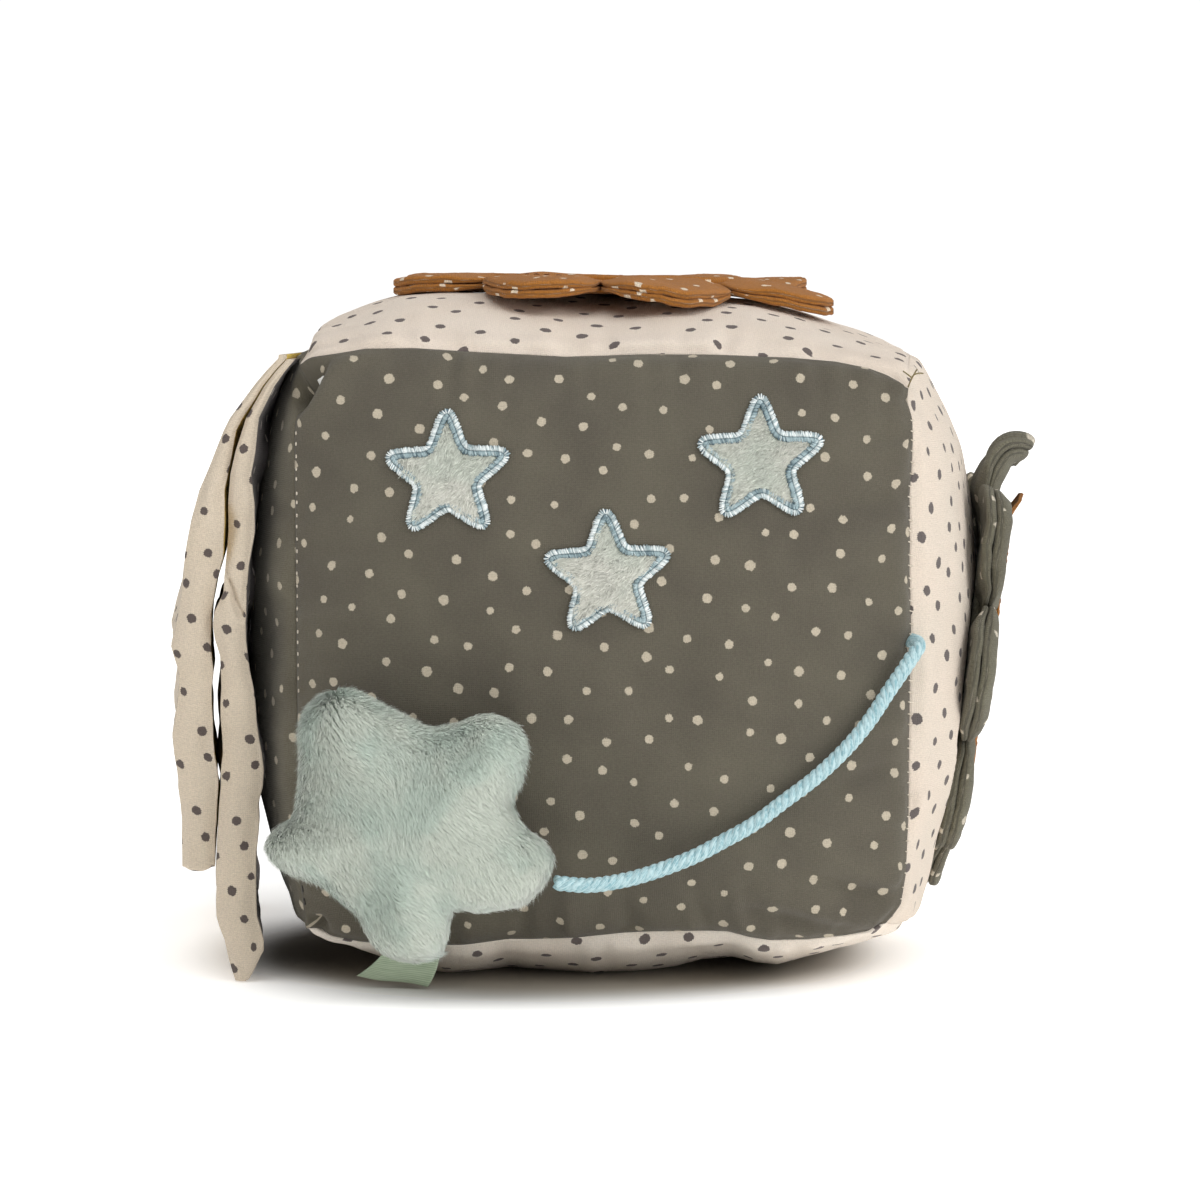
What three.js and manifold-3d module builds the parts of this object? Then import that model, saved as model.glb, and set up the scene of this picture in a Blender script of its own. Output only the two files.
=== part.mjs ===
// Soft activity cube with a rattle: six sewn cotton panels over a fibre filling, a rattle capsule inside,
// two padded pages on the left side, a stuffed star on a twisted cord, three applique stars on the front,
// and petal shapes on the top and right faces.
// Millimetres, +Z up, the front faces -Y. The origin is the middle of the flat patch that the cube rests on.
import * as THREE from 'three';
import { mergeVertices } from 'three/addons/utils/BufferGeometryUtils.js';
import Module from 'manifold-3d';

// ---- driving dimensions ----
const HX = 61, HY = 61, HZ = 58;          // half distances between opposite seams, at the middle of each seam
const ZC = 67.5;                          // height of the cube's centre above the surface it rests on
const CORNER_PULL = 0.05;                 // how far each corner is drawn in
const BULGE_SIDE = 13.8, BULGE_FRONT = 13.5, BULGE_TOP = 12, BULGE_BOTTOM = 12;
const GAP = 0.3;                          // gap between touching pieces
const SKIN = 1.2;                         // thickness of a lined cotton panel
const PANEL_CELLS = 8;
const CAPSULE_R = 20, CAPSULE_WALL = 1.5; // rattle capsule
const BEAD_R = 3.5, BEAD_RING = 4.6, BEAD_DEPTH = 13.4;
const APPLIQUE_TIP = 12.4, APPLIQUE_VALLEY = 6.4, BORDER_W = 2.4;
const APPLIQUES = [[-29.8, 104.3, 0], [1.2, 85.0, -4], [30.8, 107.3, -2]];
const CORD_D = 3.0;
const STAR_C = [-36.2, -85.0, 34.2], STAR_R = 25.3, STAR_LOBE = 3.7, STAR_HALF = 12.2;
const PAGE_Y0 = -58, PAGE_Y1 = 57;
const PETALS = 8, PETAL_ROOT = 30.5, PETAL_TIP = 48, PETAL_THICK = 2.6;
const TOP_FLOWER_Z = 138.0;
const SIDE_FLOWER = [77.2, 0, 60], SIDE_TILT = 8 * Math.PI / 180, RUST_TIP = 40, RUST_THICK = 2.2;
const TAB_W = 14, TAB_X = -42;

const root = new THREE.Group();
const wasm = await Module();
wasm.setup();

// ---- helpers ----
function clean(geometry) {
  for (const k of Object.keys(geometry.attributes)) if (k !== 'position') geometry.deleteAttribute(k);
  const g = mergeVertices(geometry, 1e-4);
  const src = g.index.array, out = [];
  for (let i = 0; i < src.length; i += 3) {
    const [a, b, c] = [src[i], src[i + 1], src[i + 2]];
    if (a !== b && b !== c && a !== c) out.push(a, b, c);
  }
  g.setIndex(out);
  return g;
}
function volume(g) {
  const p = g.attributes.position, ix = g.index.array;
  const a = new THREE.Vector3(), b = new THREE.Vector3(), c = new THREE.Vector3();
  let v = 0;
  for (let i = 0; i < ix.length; i += 3) {
    a.fromBufferAttribute(p, ix[i]); b.fromBufferAttribute(p, ix[i + 1]); c.fromBufferAttribute(p, ix[i + 2]);
    v += a.dot(b.clone().cross(c)) / 6;
  }
  return v;
}
function outward(g) {
  if (volume(g) < 0) {
    const ix = g.index.array;
    for (let i = 0; i < ix.length; i += 3) { const t = ix[i]; ix[i] = ix[i + 1]; ix[i + 1] = t; }
  }
  return g;
}
function fromLists(pos, idx) {
  const g = new THREE.BufferGeometry();
  g.setAttribute('position', new THREE.BufferAttribute(new Float32Array(pos), 3));
  g.setIndex(idx);
  return outward(clean(g));
}
// closed solid between two grids of points: at(u, v, w) with u, v from 0 to 1 and w 0 or 1
function gridSolid(at, nu, nv) {
  const pos = [], idx = [], id = (i, j, w) => (w * (nu + 1) + i) * (nv + 1) + j;
  for (let w = 0; w < 2; w++) for (let i = 0; i <= nu; i++) for (let j = 0; j <= nv; j++) pos.push(...at(i / nu, j / nv, w));
  const quad = (a, b, c, d) => idx.push(a, b, c, a, c, d);
  for (let i = 0; i < nu; i++) for (let j = 0; j < nv; j++) {
    quad(id(i, j, 1), id(i + 1, j, 1), id(i + 1, j + 1, 1), id(i, j + 1, 1));
    quad(id(i, j, 0), id(i, j + 1, 0), id(i + 1, j + 1, 0), id(i + 1, j, 0));
  }
  for (let i = 0; i < nu; i++) {
    quad(id(i, 0, 0), id(i + 1, 0, 0), id(i + 1, 0, 1), id(i, 0, 1));
    quad(id(i, nv, 0), id(i, nv, 1), id(i + 1, nv, 1), id(i + 1, nv, 0));
  }
  for (let j = 0; j < nv; j++) {
    quad(id(0, j, 0), id(0, j, 1), id(0, j + 1, 1), id(0, j + 1, 0));
    quad(id(nu, j, 0), id(nu, j + 1, 0), id(nu, j + 1, 1), id(nu, j, 1));
  }
  return fromLists(pos, idx);
}
// closed solid from a stack of rings of n points each, capped by a centre point where one is given
function ringSolid(rings, first, last, closeLoop = false) {
  const n = rings[0].length, pos = [], idx = [];
  for (const r of rings) for (const p of r) pos.push(...p);
  const m = closeLoop ? rings.length : rings.length - 1;
  for (let k = 0; k < m; k++) for (let i = 0; i < n; i++) {
    const a = k * n + i, b = k * n + (i + 1) % n, k2 = (k + 1) % rings.length, c = k2 * n + (i + 1) % n, d = k2 * n + i;
    idx.push(a, b, c, a, c, d);
  }
  if (first) { const f = pos.length / 3; pos.push(...first); for (let i = 0; i < n; i++) idx.push(f, (i + 1) % n, i); }
  if (last) { const l = pos.length / 3, o = (rings.length - 1) * n; pos.push(...last); for (let i = 0; i < n; i++) idx.push(l, o + i, o + (i + 1) % n); }
  return fromLists(pos, idx);
}
function solidOf(geometry) {
  const g = clean(geometry.clone());
  return new wasm.Manifold(new wasm.Mesh({
    numProp: 3,
    vertProperties: new Float32Array(g.attributes.position.array),
    triVerts: new Uint32Array(g.index.array),
  }));
}
function geometryOf(solid) {
  const m = solid.getMesh(), pos = [];
  for (let i = 0; i < m.vertProperties.length; i += m.numProp) pos.push(m.vertProperties[i], m.vertProperties[i + 1], m.vertProperties[i + 2]);
  const g = new THREE.BufferGeometry();
  g.setAttribute('position', new THREE.BufferAttribute(new Float32Array(pos), 3));
  g.setIndex(Array.from(m.triVerts));
  return g;
}
function box(x0, x1, y0, y1, z0, z1) {
  const g = new THREE.BoxGeometry(x1 - x0, y1 - y0, z1 - z0);
  g.translate((x0 + x1) / 2, (y0 + y1) / 2, (z0 + z1) / 2);
  return g;
}
const MATERIALS = {
  olive_cotton: [0x5f5e53, 0.9], cream_cotton: [0xe4dace, 0.9], rust_cotton: [0xb27034, 0.9], mint_plush: [0xbcd3cb, 0.95],
  satin_thread: [0x8fb1bd, 0.45], aqua_cord: [0xa6d0dc, 0.7], yellow_cotton: [0xe2c45a, 0.9], plum_cotton: [0x5b5355, 0.9],
  green_ribbon: [0xcfe3cf, 0.5], fibre_fill: [0xf4f3ee, 1.0], capsule_plastic: [0xf0efe9, 0.4], bead_plastic: [0xd86a4a, 0.4],
};
function add(name, geometry, slot, parent = root) {
  geometry.computeVertexNormals();
  const [color, roughness] = MATERIALS[slot];
  const mesh = new THREE.Mesh(geometry, new THREE.MeshStandardMaterial({ color, roughness, metalness: 0 }));
  mesh.name = name;
  parent.add(mesh);
  return mesh;
}

// ---- the stuffed cube's surface ----
const swell = (t) => Math.pow(Math.max(0, 1 - Math.pow(Math.abs(t), 3)), 0.8);
const pull = (p, q) => 1 - CORNER_PULL * Math.pow(Math.abs(p * q), 4);
// (a, b, c) lies on the surface of the cube from -1 to 1; the result is the point of the stuffed cube's skin
function skin(a, b, c, s = 1) {
  let x = a * HX * pull(b, c), y = b * HY * pull(a, c), z = c * HZ * pull(a, b);
  if (Math.abs(a) >= 1) x += Math.sign(a) * BULGE_SIDE * swell(b) * swell(c);
  if (Math.abs(b) >= 1) y += Math.sign(b) * BULGE_FRONT * swell(a) * swell(c);
  if (c >= 1) z += BULGE_TOP * swell(a) * swell(b);
  if (c <= -1) z -= BULGE_BOTTOM * swell(a) * swell(b);
  z = Math.max(z, -ZC);
  return [x * s, y * s, ZC + z * s];
}
const frontY = (x, z) => -(HY + BULGE_FRONT * swell(x / HX) * swell((z - ZC) / HZ));
const leftX = (y, z) => -(HX + BULGE_SIDE * swell(y / HY) * swell((z - ZC) / HZ));
const FACES = {
  front_panel: [(u, v) => [u, -1, v], 'olive_cotton'], back_panel: [(u, v) => [u, 1, v], 'olive_cotton'],
  left_panel: [(u, v) => [-1, u, v], 'olive_cotton'], right_panel: [(u, v) => [1, u, v], 'cream_cotton'],
  top_panel: [(u, v) => [u, v, 1], 'cream_cotton'], bottom_panel: [(u, v) => [u, v, -1], 'cream_cotton'],
};
const EDGE = 0.996;                        // leaves the gap at each seam
const sIn = 1 - SKIN / HZ;
for (const [name, [face, slot]] of Object.entries(FACES)) {
  add(name, gridSolid((u, v, w) => {
    const [a, b, c] = face((2 * u - 1) * EDGE, (2 * v - 1) * EDGE);
    return skin(a, b, c, w ? 1 : sIn);
  }, PANEL_CELLS, PANEL_CELLS), slot);
}

// ---- filling in two parts round the rattle capsule ----
{
  const s = sIn - 0.45 / HZ, n = PANEL_CELLS, pos = [], idx = [];
  for (const [face] of Object.values(FACES)) {
    const base = pos.length / 3, corners = [[0, 0], [1, 0], [1, 1]].map(([u, v]) => new THREE.Vector3(...face(2 * u - 1, 2 * v - 1)));
    const flip = corners[1].clone().sub(corners[0]).cross(corners[2].clone().sub(corners[0])).dot(corners[0]) < 0;
    for (let i = 0; i <= n; i++) for (let j = 0; j <= n; j++) pos.push(...skin(...face(2 * i / n - 1, 2 * j / n - 1), s));
    for (let i = 0; i < n; i++) for (let j = 0; j < n; j++) {
      const a = base + i * (n + 1) + j, b = a + n + 1, c = b + 1, d = a + 1;
      if (flip) idx.push(a, c, b, a, d, c); else idx.push(a, b, c, a, c, d);
    }
  }
  const block = solidOf(fromLists(pos, idx));
  const pocket = new THREE.SphereGeometry(CAPSULE_R + 0.6, 16, 12);
  pocket.rotateX(Math.PI / 2); pocket.translate(0, 0, ZC);
  const hollow = block.subtract(solidOf(pocket));
  add('filling_lower', geometryOf(hollow.intersect(solidOf(box(-100, 100, -100, 100, -5, ZC - GAP / 2)))), 'fibre_fill');
  add('filling_upper', geometryOf(hollow.intersect(solidOf(box(-100, 100, -100, 100, ZC + GAP / 2, 200)))), 'fibre_fill');
}

// ---- rattle capsule and its beads ----
{
  const profile = [], n = 7;
  for (let i = 0; i <= n; i++) { const t = i / n * Math.PI / 2 * 0.995; profile.push(new THREE.Vector2(CAPSULE_R * Math.sin(t), -CAPSULE_R * Math.cos(t))); }
  for (let i = n; i >= 0; i--) { const t = i / n * Math.PI / 2 * 0.995; const r = CAPSULE_R - CAPSULE_WALL; profile.push(new THREE.Vector2(r * Math.sin(t), -r * Math.cos(t))); }
  profile[n].y = profile[n + 1].y = -0.15;
  profile[0].x = 0; profile[2 * n + 1].x = 0;
  for (const [name, sign] of [['rattle_cup', 1], ['rattle_lid', -1]]) {
    const g = new THREE.LatheGeometry(profile, 20);
    g.rotateX(Math.PI / 2 * sign);
    g.translate(0, 0, ZC);
    add(name, outward(clean(g)), 'capsule_plastic');
  }
  for (let i = 0; i < 3; i++) {
    const g = new THREE.SphereGeometry(BEAD_R, 8, 6), t = i * 2 * Math.PI / 3 + 0.5;
    g.rotateX(Math.PI / 2);
    g.translate(BEAD_RING * Math.cos(t), BEAD_RING * Math.sin(t), ZC - BEAD_DEPTH);
    add(`rattle_bead_${i + 1}`, outward(clean(g)), 'bead_plastic');
  }
}

// ---- applique stars on the front ----
function starOutline(tip, valley, perEdge) {
  const pts = [];
  for (let i = 0; i < 10; i++) {
    const a0 = Math.PI / 2 + i * Math.PI / 5, a1 = a0 + Math.PI / 5, r0 = i % 2 ? valley : tip, r1 = i % 2 ? tip : valley;
    for (let k = 0; k < perEdge; k++) {
      const f = k / perEdge;
      pts.push([(1 - f) * r0 * Math.cos(a0) + f * r1 * Math.cos(a1), (1 - f) * r0 * Math.sin(a0) + f * r1 * Math.sin(a1)]);
    }
  }
  return pts;
}
APPLIQUES.forEach(([cx, cz, turn], k) => {
  const apothem = APPLIQUE_TIP * APPLIQUE_VALLEY * Math.sin(Math.PI / 5) / Math.hypot(APPLIQUE_TIP - APPLIQUE_VALLEY * Math.cos(Math.PI / 5), APPLIQUE_VALLEY * Math.sin(Math.PI / 5));
  const c = Math.cos(turn * Math.PI / 180), s = Math.sin(turn * Math.PI / 180);
  const ring = (scale, lift) => starOutline(APPLIQUE_TIP * scale, APPLIQUE_VALLEY * scale, 2).map(([x, z]) => {
    const px = cx + c * x - s * z, pz = cz + s * x + c * z;
    return [px, frontY(px, pz) - lift, pz];
  });
  const mid = (lift) => [cx, frontY(cx, cz) - lift, cz];
  const inner = (apothem - BORDER_W) / apothem, patch = (apothem - BORDER_W - GAP) / apothem;
  add(`star_border_${k + 1}`, ringSolid([ring(1, 0.5), ring(1, 1.8), ring(inner, 1.8), ring(inner, 0.5)], null, null, true), 'satin_thread');
  add(`star_patch_${k + 1}`, ringSolid([ring(patch, 0.5), ring(patch, 1.7)], mid(0.5), mid(1.7)), 'mint_plush');
});

// ---- twisted cord from the front-right seam to the stuffed star ----
{
  const tack = new THREE.CylinderGeometry(1.2, 1.2, 4.2, 10);
  tack.rotateX(Math.PI / 2);
  tack.translate(HX + 1.4, -HY - 1.4, 68.2);
  add('cord_tack', clean(tack), 'aqua_cord');
  const route = [[60.8, -65.3, 66.6], [58.7, -66.8, 63.6], [56.0, -68.2, 59.8], [52.2, -70.2, 54.2], [47.9, -71.9, 49.1], [41.7, -73.6, 43.3],
    [35.8, -74.6, 38.9], [29.8, -75.2, 34.4], [23.7, -75.9, 31.0], [18.0, -76.9, 28.1], [9.8, -79.0, 25.2], [4.5, -81.0, 24.0], [-1.8, -83.6, 23.4], [-8.0, -84.9, 24.0]];
  const curve = new THREE.CatmullRomCurve3(route.map((p) => new THREE.Vector3(...p)), false, 'centripetal');
  const section = new THREE.Shape();
  for (let i = 0; i < 8; i++) { const t = (i + 0.5) * Math.PI / 4, r = CORD_D / 2; section[i ? 'lineTo' : 'moveTo'](r * Math.cos(t), r * Math.sin(t)); }
  const g = new THREE.ExtrudeGeometry(section, { steps: 16, extrudePath: curve, curveSegments: 1, bevelEnabled: false });
  add('star_cord', outward(clean(g)), 'aqua_cord');
}

// ---- stuffed plush star: front and back plush with the stuffing between ----
{
  const N = 40, levels = [1, 0.86, 0.62, 0.32];
  const outline = (t) => STAR_R + STAR_LOBE * Math.cos(5 * (t - 54 * Math.PI / 180));
  const ring = (rho, inset, side, half, base) => {
    const pts = [], h = Math.max(base, half * Math.pow(1 - Math.pow(rho, 2.6), 0.62));
    for (let i = 0; i < N; i++) {
      const t = i * 2 * Math.PI / N, r = rho * (outline(t) - inset);
      pts.push([STAR_C[0] + r * Math.cos(t), STAR_C[1] + side * h, STAR_C[2] + r * Math.sin(t)]);
    }
    return pts;
  };
  const apex = (half, side) => [STAR_C[0], STAR_C[1] + side * half, STAR_C[2]];
  for (const [name, side] of [['plush_star_front', -1], ['plush_star_back', 1]]) {
    const outer = levels.map((r) => ring(r, 0, side, STAR_HALF, 0.2)).reverse();
    const inner = levels.map((r) => ring(r, 1.2, side, STAR_HALF - 1.2, 0.2));
    add(name, ringSolid([...outer, ...inner], apex(STAR_HALF, side), apex(STAR_HALF - 1.2, side)), 'mint_plush');
  }
  const h = STAR_HALF - 1.6, low = levels.slice(1).map((r) => ring(r, 1.7, -1, h, 0.3)).reverse(), high = levels.slice(1).map((r) => ring(r, 1.7, 1, h, 0.3));
  add('plush_star_stuffing', ringSolid([...low, ring(0.97, 1.7, 1, 0, 0), ...high], apex(h, -1), apex(h, 1)), 'fibre_fill');
}

// ---- two padded pages on the left side ----
const lerpTable = (table, s) => {
  if (s <= table[0][0]) return table[0].slice(1);
  for (let i = 1; i < table.length; i++) if (s <= table[i][0]) {
    const f = (s - table[i - 1][0]) / (table[i][0] - table[i - 1][0]);
    return table[i].slice(1).map((v, k) => table[i - 1][k + 1] * (1 - f) + v * f);
  }
  return table[table.length - 1].slice(1);
};
const smooth = (t) => { t = Math.min(1, Math.max(0, t)); return t * t * (3 - 2 * t); };
// height, x of the page's middle at its front edge, half thickness
const INNER_PAGE = [[1.4, -73.2, 3.2], [6, -71.9, 3.9], [12.6, -72.5, 4.2], [24.6, -72.8, 4.2], [36.6, -71.9, 4.3], [48.6, -71.7, 4.3], [60.5, -72.2, 3.8], [72.4, -73.1, 3.9],
  [84.3, -72.6, 3.6], [92.3, -71.6, 3.2], [102.1, -70.0, 2.7], [110, -68.2, 2.3], [116, -66.6, 1.9], [121.5, -65.2, 1.5]];
const OUTER_PAGE = [[23.6, -81.2, 3.7], [32.6, -81.6, 4.1], [44.5, -82.2, 4.2], [56.5, -82.4, 4.1], [68.4, -82.7, 4.2], [80.3, -81.8, 3.8], [90.3, -80.2, 3.5], [100.2, -77.6, 2.9],
  [112, -73.6, 2.2], [118, -70.8, 1.9], [122.5, -69.0, 1.5]];
function innerMid(y, z) {
  const [x, h] = lerpTable(INNER_PAGE, z), splay = 0.12 * Math.max(0, y + 14) * smooth((118 - z) / 50);
  return [Math.min(x, leftX(y, z) - h - 0.9) - splay, h];
}
function outerMid(y, z) {
  const [x, h] = lerpTable(OUTER_PAGE, z), [xi, hi] = innerMid(y, Math.max(z, INNER_PAGE[0][0]));
  return [Math.min(x, xi - hi - h - 1.3), h];
}
for (const [name, trueMid, z0, z1, slotIn] of [['inner_page', innerMid, 1.4, 121.5, 'plum_cotton'], ['outer_page', outerMid, 23.6, 122.5, 'yellow_cotton']]) {
  // all the layers of a page share one set of stations, so that they stay parallel
  const zTop = z1 - 14, ys = [], zs = [z0, z0 + 1];
  for (let i = 0; i <= 6; i++) ys.push(PAGE_Y0 + i / 6 * (PAGE_Y1 - PAGE_Y0));
  for (let i = 1; i <= 8; i++) zs.push(z0 + 1 + i / 8 * (zTop - z0 - 1));
  zs.push(z1 - 7, z1);
  const cell = (list, t) => { let i = 0; while (i < list.length - 2 && t > list[i + 1]) i++; return [i, (t - list[i]) / (list[i + 1] - list[i])]; };
  const table = ys.map((y) => zs.map((z) => trueMid(y, z)));
  const mid = (y, z) => {
    const [i, f] = cell(ys, y), [j, g] = cell(zs, z);
    return [0, 1].map((k) => (1 - f) * ((1 - g) * table[i][j][k] + g * table[i][j + 1][k]) + f * ((1 - g) * table[i + 1][j][k] + g * table[i + 1][j + 1][k]));
  };
  // side: which face of the page, 1 faces the cube and -1 faces away; t: distance in from that face
  const at = (y, z, side, t) => { const [x, h] = mid(y, z); return [x + side * (h - t), y, z]; };
  const sheet = (side) => gridSolid((u, v, w) => at(ys[Math.round(u * 6)], zs[Math.round(v * (zs.length - 1))], side, w ? 0 : 1.0), 6, zs.length - 1);
  add(`${name}_cube_face`, sheet(1), slotIn);
  add(`${name}_outer_face`, sheet(-1), 'cream_cotton');
  const core = (yList, zList, t) => gridSolid((u, v, w) => at(yList[Math.round(u * (yList.length - 1))], zList[Math.round(v * (zList.length - 1))], w ? 1 : -1, t), yList.length - 1, zList.length - 1);
  const zLow = zs.slice(0, 10), y0 = PAGE_Y0, y1 = PAGE_Y1;
  const gusset = solidOf(core([y0, y0 + 1], zLow, 1.4)).add(solidOf(core([y1 - 1, y1], zLow, 1.4))).add(solidOf(core(ys, [z0, z0 + 1], 1.4)));
  add(`${name}_gusset`, geometryOf(gusset), 'cream_cotton');
  add(`${name}_padding`, core([y0 + 1.5, ...ys.slice(1, 6), y1 - 1.5], [z0 + 1.5, ...zs.slice(2, 10)], 1.5), 'fibre_fill');
}

// ---- petal shapes: a sewn-down centre and eight free petals each ----
function petalShape(tip, half) {
  const r0 = PETAL_ROOT + GAP, q = half.map(([r, w]) => [r, w]);
  const shape = new THREE.Shape();
  shape.moveTo(r0, -q[0][1]);
  for (const [r, w] of q.slice(1)) shape.lineTo(r, -w);
  shape.lineTo(tip, 0);
  for (const [r, w] of q.slice(1).reverse()) shape.lineTo(r, w);
  shape.lineTo(r0, q[0][1]);
  shape.closePath();
  return shape;
}
const WIDE = [[0, 12.1], [33, 12.6], [38.5, 12.6], [42.5, 11.0], [45.6, 8.2], [47.4, 4.4]];
const NARROW = [[0, 11.9], [32.5, 11.4], [35.5, 9.6], [38.2, 6.4], [39.6, 3.2]];
function centreDisc(thick) {
  const g = new THREE.CylinderGeometry(PETAL_ROOT, PETAL_ROOT, thick, 16);
  g.rotateX(Math.PI / 2); g.rotateZ(Math.PI / 16); g.translate(0, 0, thick / 2);
  return g;
}
function flower(names, group, thick, base, tip, half, turn, slot) {
  const centre = centreDisc(thick);
  centre.scale(0.985, 0.985, 1);
  centre.translate(0, 0, base);
  add(names + '_centre', clean(centre), slot, group);
  for (let i = 0; i < PETALS; i++) {
    const g = new THREE.ExtrudeGeometry(petalShape(tip, half), { depth: thick, bevelEnabled: false, curveSegments: 1 });
    g.translate(0, 0, base);
    g.rotateZ(turn + i * 2 * Math.PI / PETALS);
    add(`${names}_petal_${i + 1}`, outward(clean(g)), slot, group);
  }
}
const topGroup = new THREE.Group();
topGroup.position.set(0, 0, TOP_FLOWER_Z);
root.add(topGroup);
flower('top_flower', topGroup, PETAL_THICK, 0, PETAL_TIP, WIDE, Math.PI / 8, 'rust_cotton');

// local +Z of this group points out of the right face, local +X points up the face
const sideGroup = new THREE.Group();
sideGroup.position.set(...SIDE_FLOWER);
sideGroup.setRotationFromMatrix(new THREE.Matrix4().makeBasis(
  new THREE.Vector3(Math.sin(SIDE_TILT), 0, Math.cos(SIDE_TILT)), new THREE.Vector3(0, 1, 0).negate(), new THREE.Vector3(Math.cos(SIDE_TILT), 0, -Math.sin(SIDE_TILT))));
root.add(sideGroup);
flower('side_flower', sideGroup, PETAL_THICK, 0, PETAL_TIP, WIDE, 0, 'olive_cotton');
flower('rust_flower', sideGroup, RUST_THICK, PETAL_THICK + GAP + 0.1, RUST_TIP, NARROW, 0, 'rust_cotton');

// ---- ribbon tab in the front-bottom seam ----
add('ribbon_tab', gridSolid((u, v, w) => [TAB_X + (u - 0.5) * TAB_W, -62.6 + 1.6 * v * v + (w ? -0.9 : 0), 8.6 - 7.8 * v + 1.8 * v * (0.5 - u)], 1, 3), 'green_ribbon');

export default root;
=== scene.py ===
import math
import bpy
import bmesh
import numpy as np
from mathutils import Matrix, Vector


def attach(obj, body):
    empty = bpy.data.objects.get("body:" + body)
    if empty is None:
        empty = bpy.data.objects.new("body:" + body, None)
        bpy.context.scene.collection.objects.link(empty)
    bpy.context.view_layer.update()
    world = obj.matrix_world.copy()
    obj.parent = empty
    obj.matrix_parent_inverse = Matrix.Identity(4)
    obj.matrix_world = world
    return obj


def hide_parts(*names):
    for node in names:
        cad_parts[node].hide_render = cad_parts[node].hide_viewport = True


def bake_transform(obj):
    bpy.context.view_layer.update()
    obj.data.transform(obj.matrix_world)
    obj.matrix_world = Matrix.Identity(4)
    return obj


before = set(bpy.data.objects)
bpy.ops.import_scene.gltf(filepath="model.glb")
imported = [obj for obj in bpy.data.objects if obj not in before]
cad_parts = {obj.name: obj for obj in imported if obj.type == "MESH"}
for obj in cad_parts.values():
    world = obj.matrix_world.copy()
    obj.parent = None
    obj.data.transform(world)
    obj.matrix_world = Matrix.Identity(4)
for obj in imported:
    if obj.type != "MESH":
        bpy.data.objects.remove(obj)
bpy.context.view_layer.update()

MM = 0.001

# ---------------------------------------------------------------- camera
cam = bpy.data.cameras.new("camera")
cam.sensor_fit = "HORIZONTAL"
cam.sensor_width = 36.0
cam.lens = 132.66
camera = bpy.data.objects.new("camera", cam)
camera.location = (0.039, -0.927, 0.137)
camera.rotation_euler = (math.radians(90 - 3.97), 0.0, math.radians(2.62))
bpy.context.scene.collection.objects.link(camera)
bpy.context.scene.camera = camera

# ---------------------------------------------------------------- driving sizes, mm
HX, HY, HZ, ZC = 61.0, 61.0, 58.0, 67.5        # half distances between seams, height of the centre
BULGE_SIDE, BULGE_FRONT, BULGE_TOP, BULGE_BOTTOM = 13.8, 13.5, 11.4, 12.0
CORD_ROUTE = [[60.8, -65.3, 66.6], [58.7, -66.8, 63.6], [56.0, -68.2, 59.8], [52.2, -70.2, 54.2], [47.9, -71.9, 49.1],
              [41.7, -73.6, 43.3], [35.8, -74.6, 38.9], [29.8, -75.2, 34.4], [23.7, -75.9, 31.0], [18.0, -76.9, 28.1],
              [9.8, -79.0, 25.2], [4.5, -81.0, 24.0], [-1.8, -83.6, 23.4], [-8.0, -84.9, 24.0]]


# ---------------------------------------------------------------- noise and mesh helpers
def _lattice(i, j, k, seed):
    n = (i * 374761393 + j * 668265263 + k * 2147483647 + seed * 1274126177) & 0xFFFFFFFF
    n = ((n ^ (n >> 13)) * 1274126177) & 0xFFFFFFFF
    n = ((n ^ (n >> 15)) * 2246822519) & 0xFFFFFFFF
    return ((n ^ (n >> 16)) & 0xFFFF) / 32767.5 - 1.0


def noise(x, y=0.0, z=0.0, seed=0):
    """smooth value noise in -1..1 on a unit lattice"""
    x, y, z = np.broadcast_arrays(np.asarray(x, float), np.asarray(y, float), np.asarray(z, float))
    i, j, k = np.floor(x).astype(np.int64), np.floor(y).astype(np.int64), np.floor(z).astype(np.int64)
    f, g, h = x - i, y - j, z - k
    f, g, h = (t * t * t * (t * (6 * t - 15) + 10) for t in (f, g, h))
    out = 0.0
    for a in (0, 1):
        for b in (0, 1):
            for c in (0, 1):
                w = (f if a else 1 - f) * (g if b else 1 - g) * (h if c else 1 - h)
                out = out + w * _lattice(i + a, j + b, k + c, seed)
    return out


def smooth(t):
    t = np.clip(t, 0, 1)
    return t * t * (3 - 2 * t)


def unit(v):
    v = np.asarray(v, float)
    return v / np.maximum(np.linalg.norm(v, axis=-1, keepdims=True), 1e-12)


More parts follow.
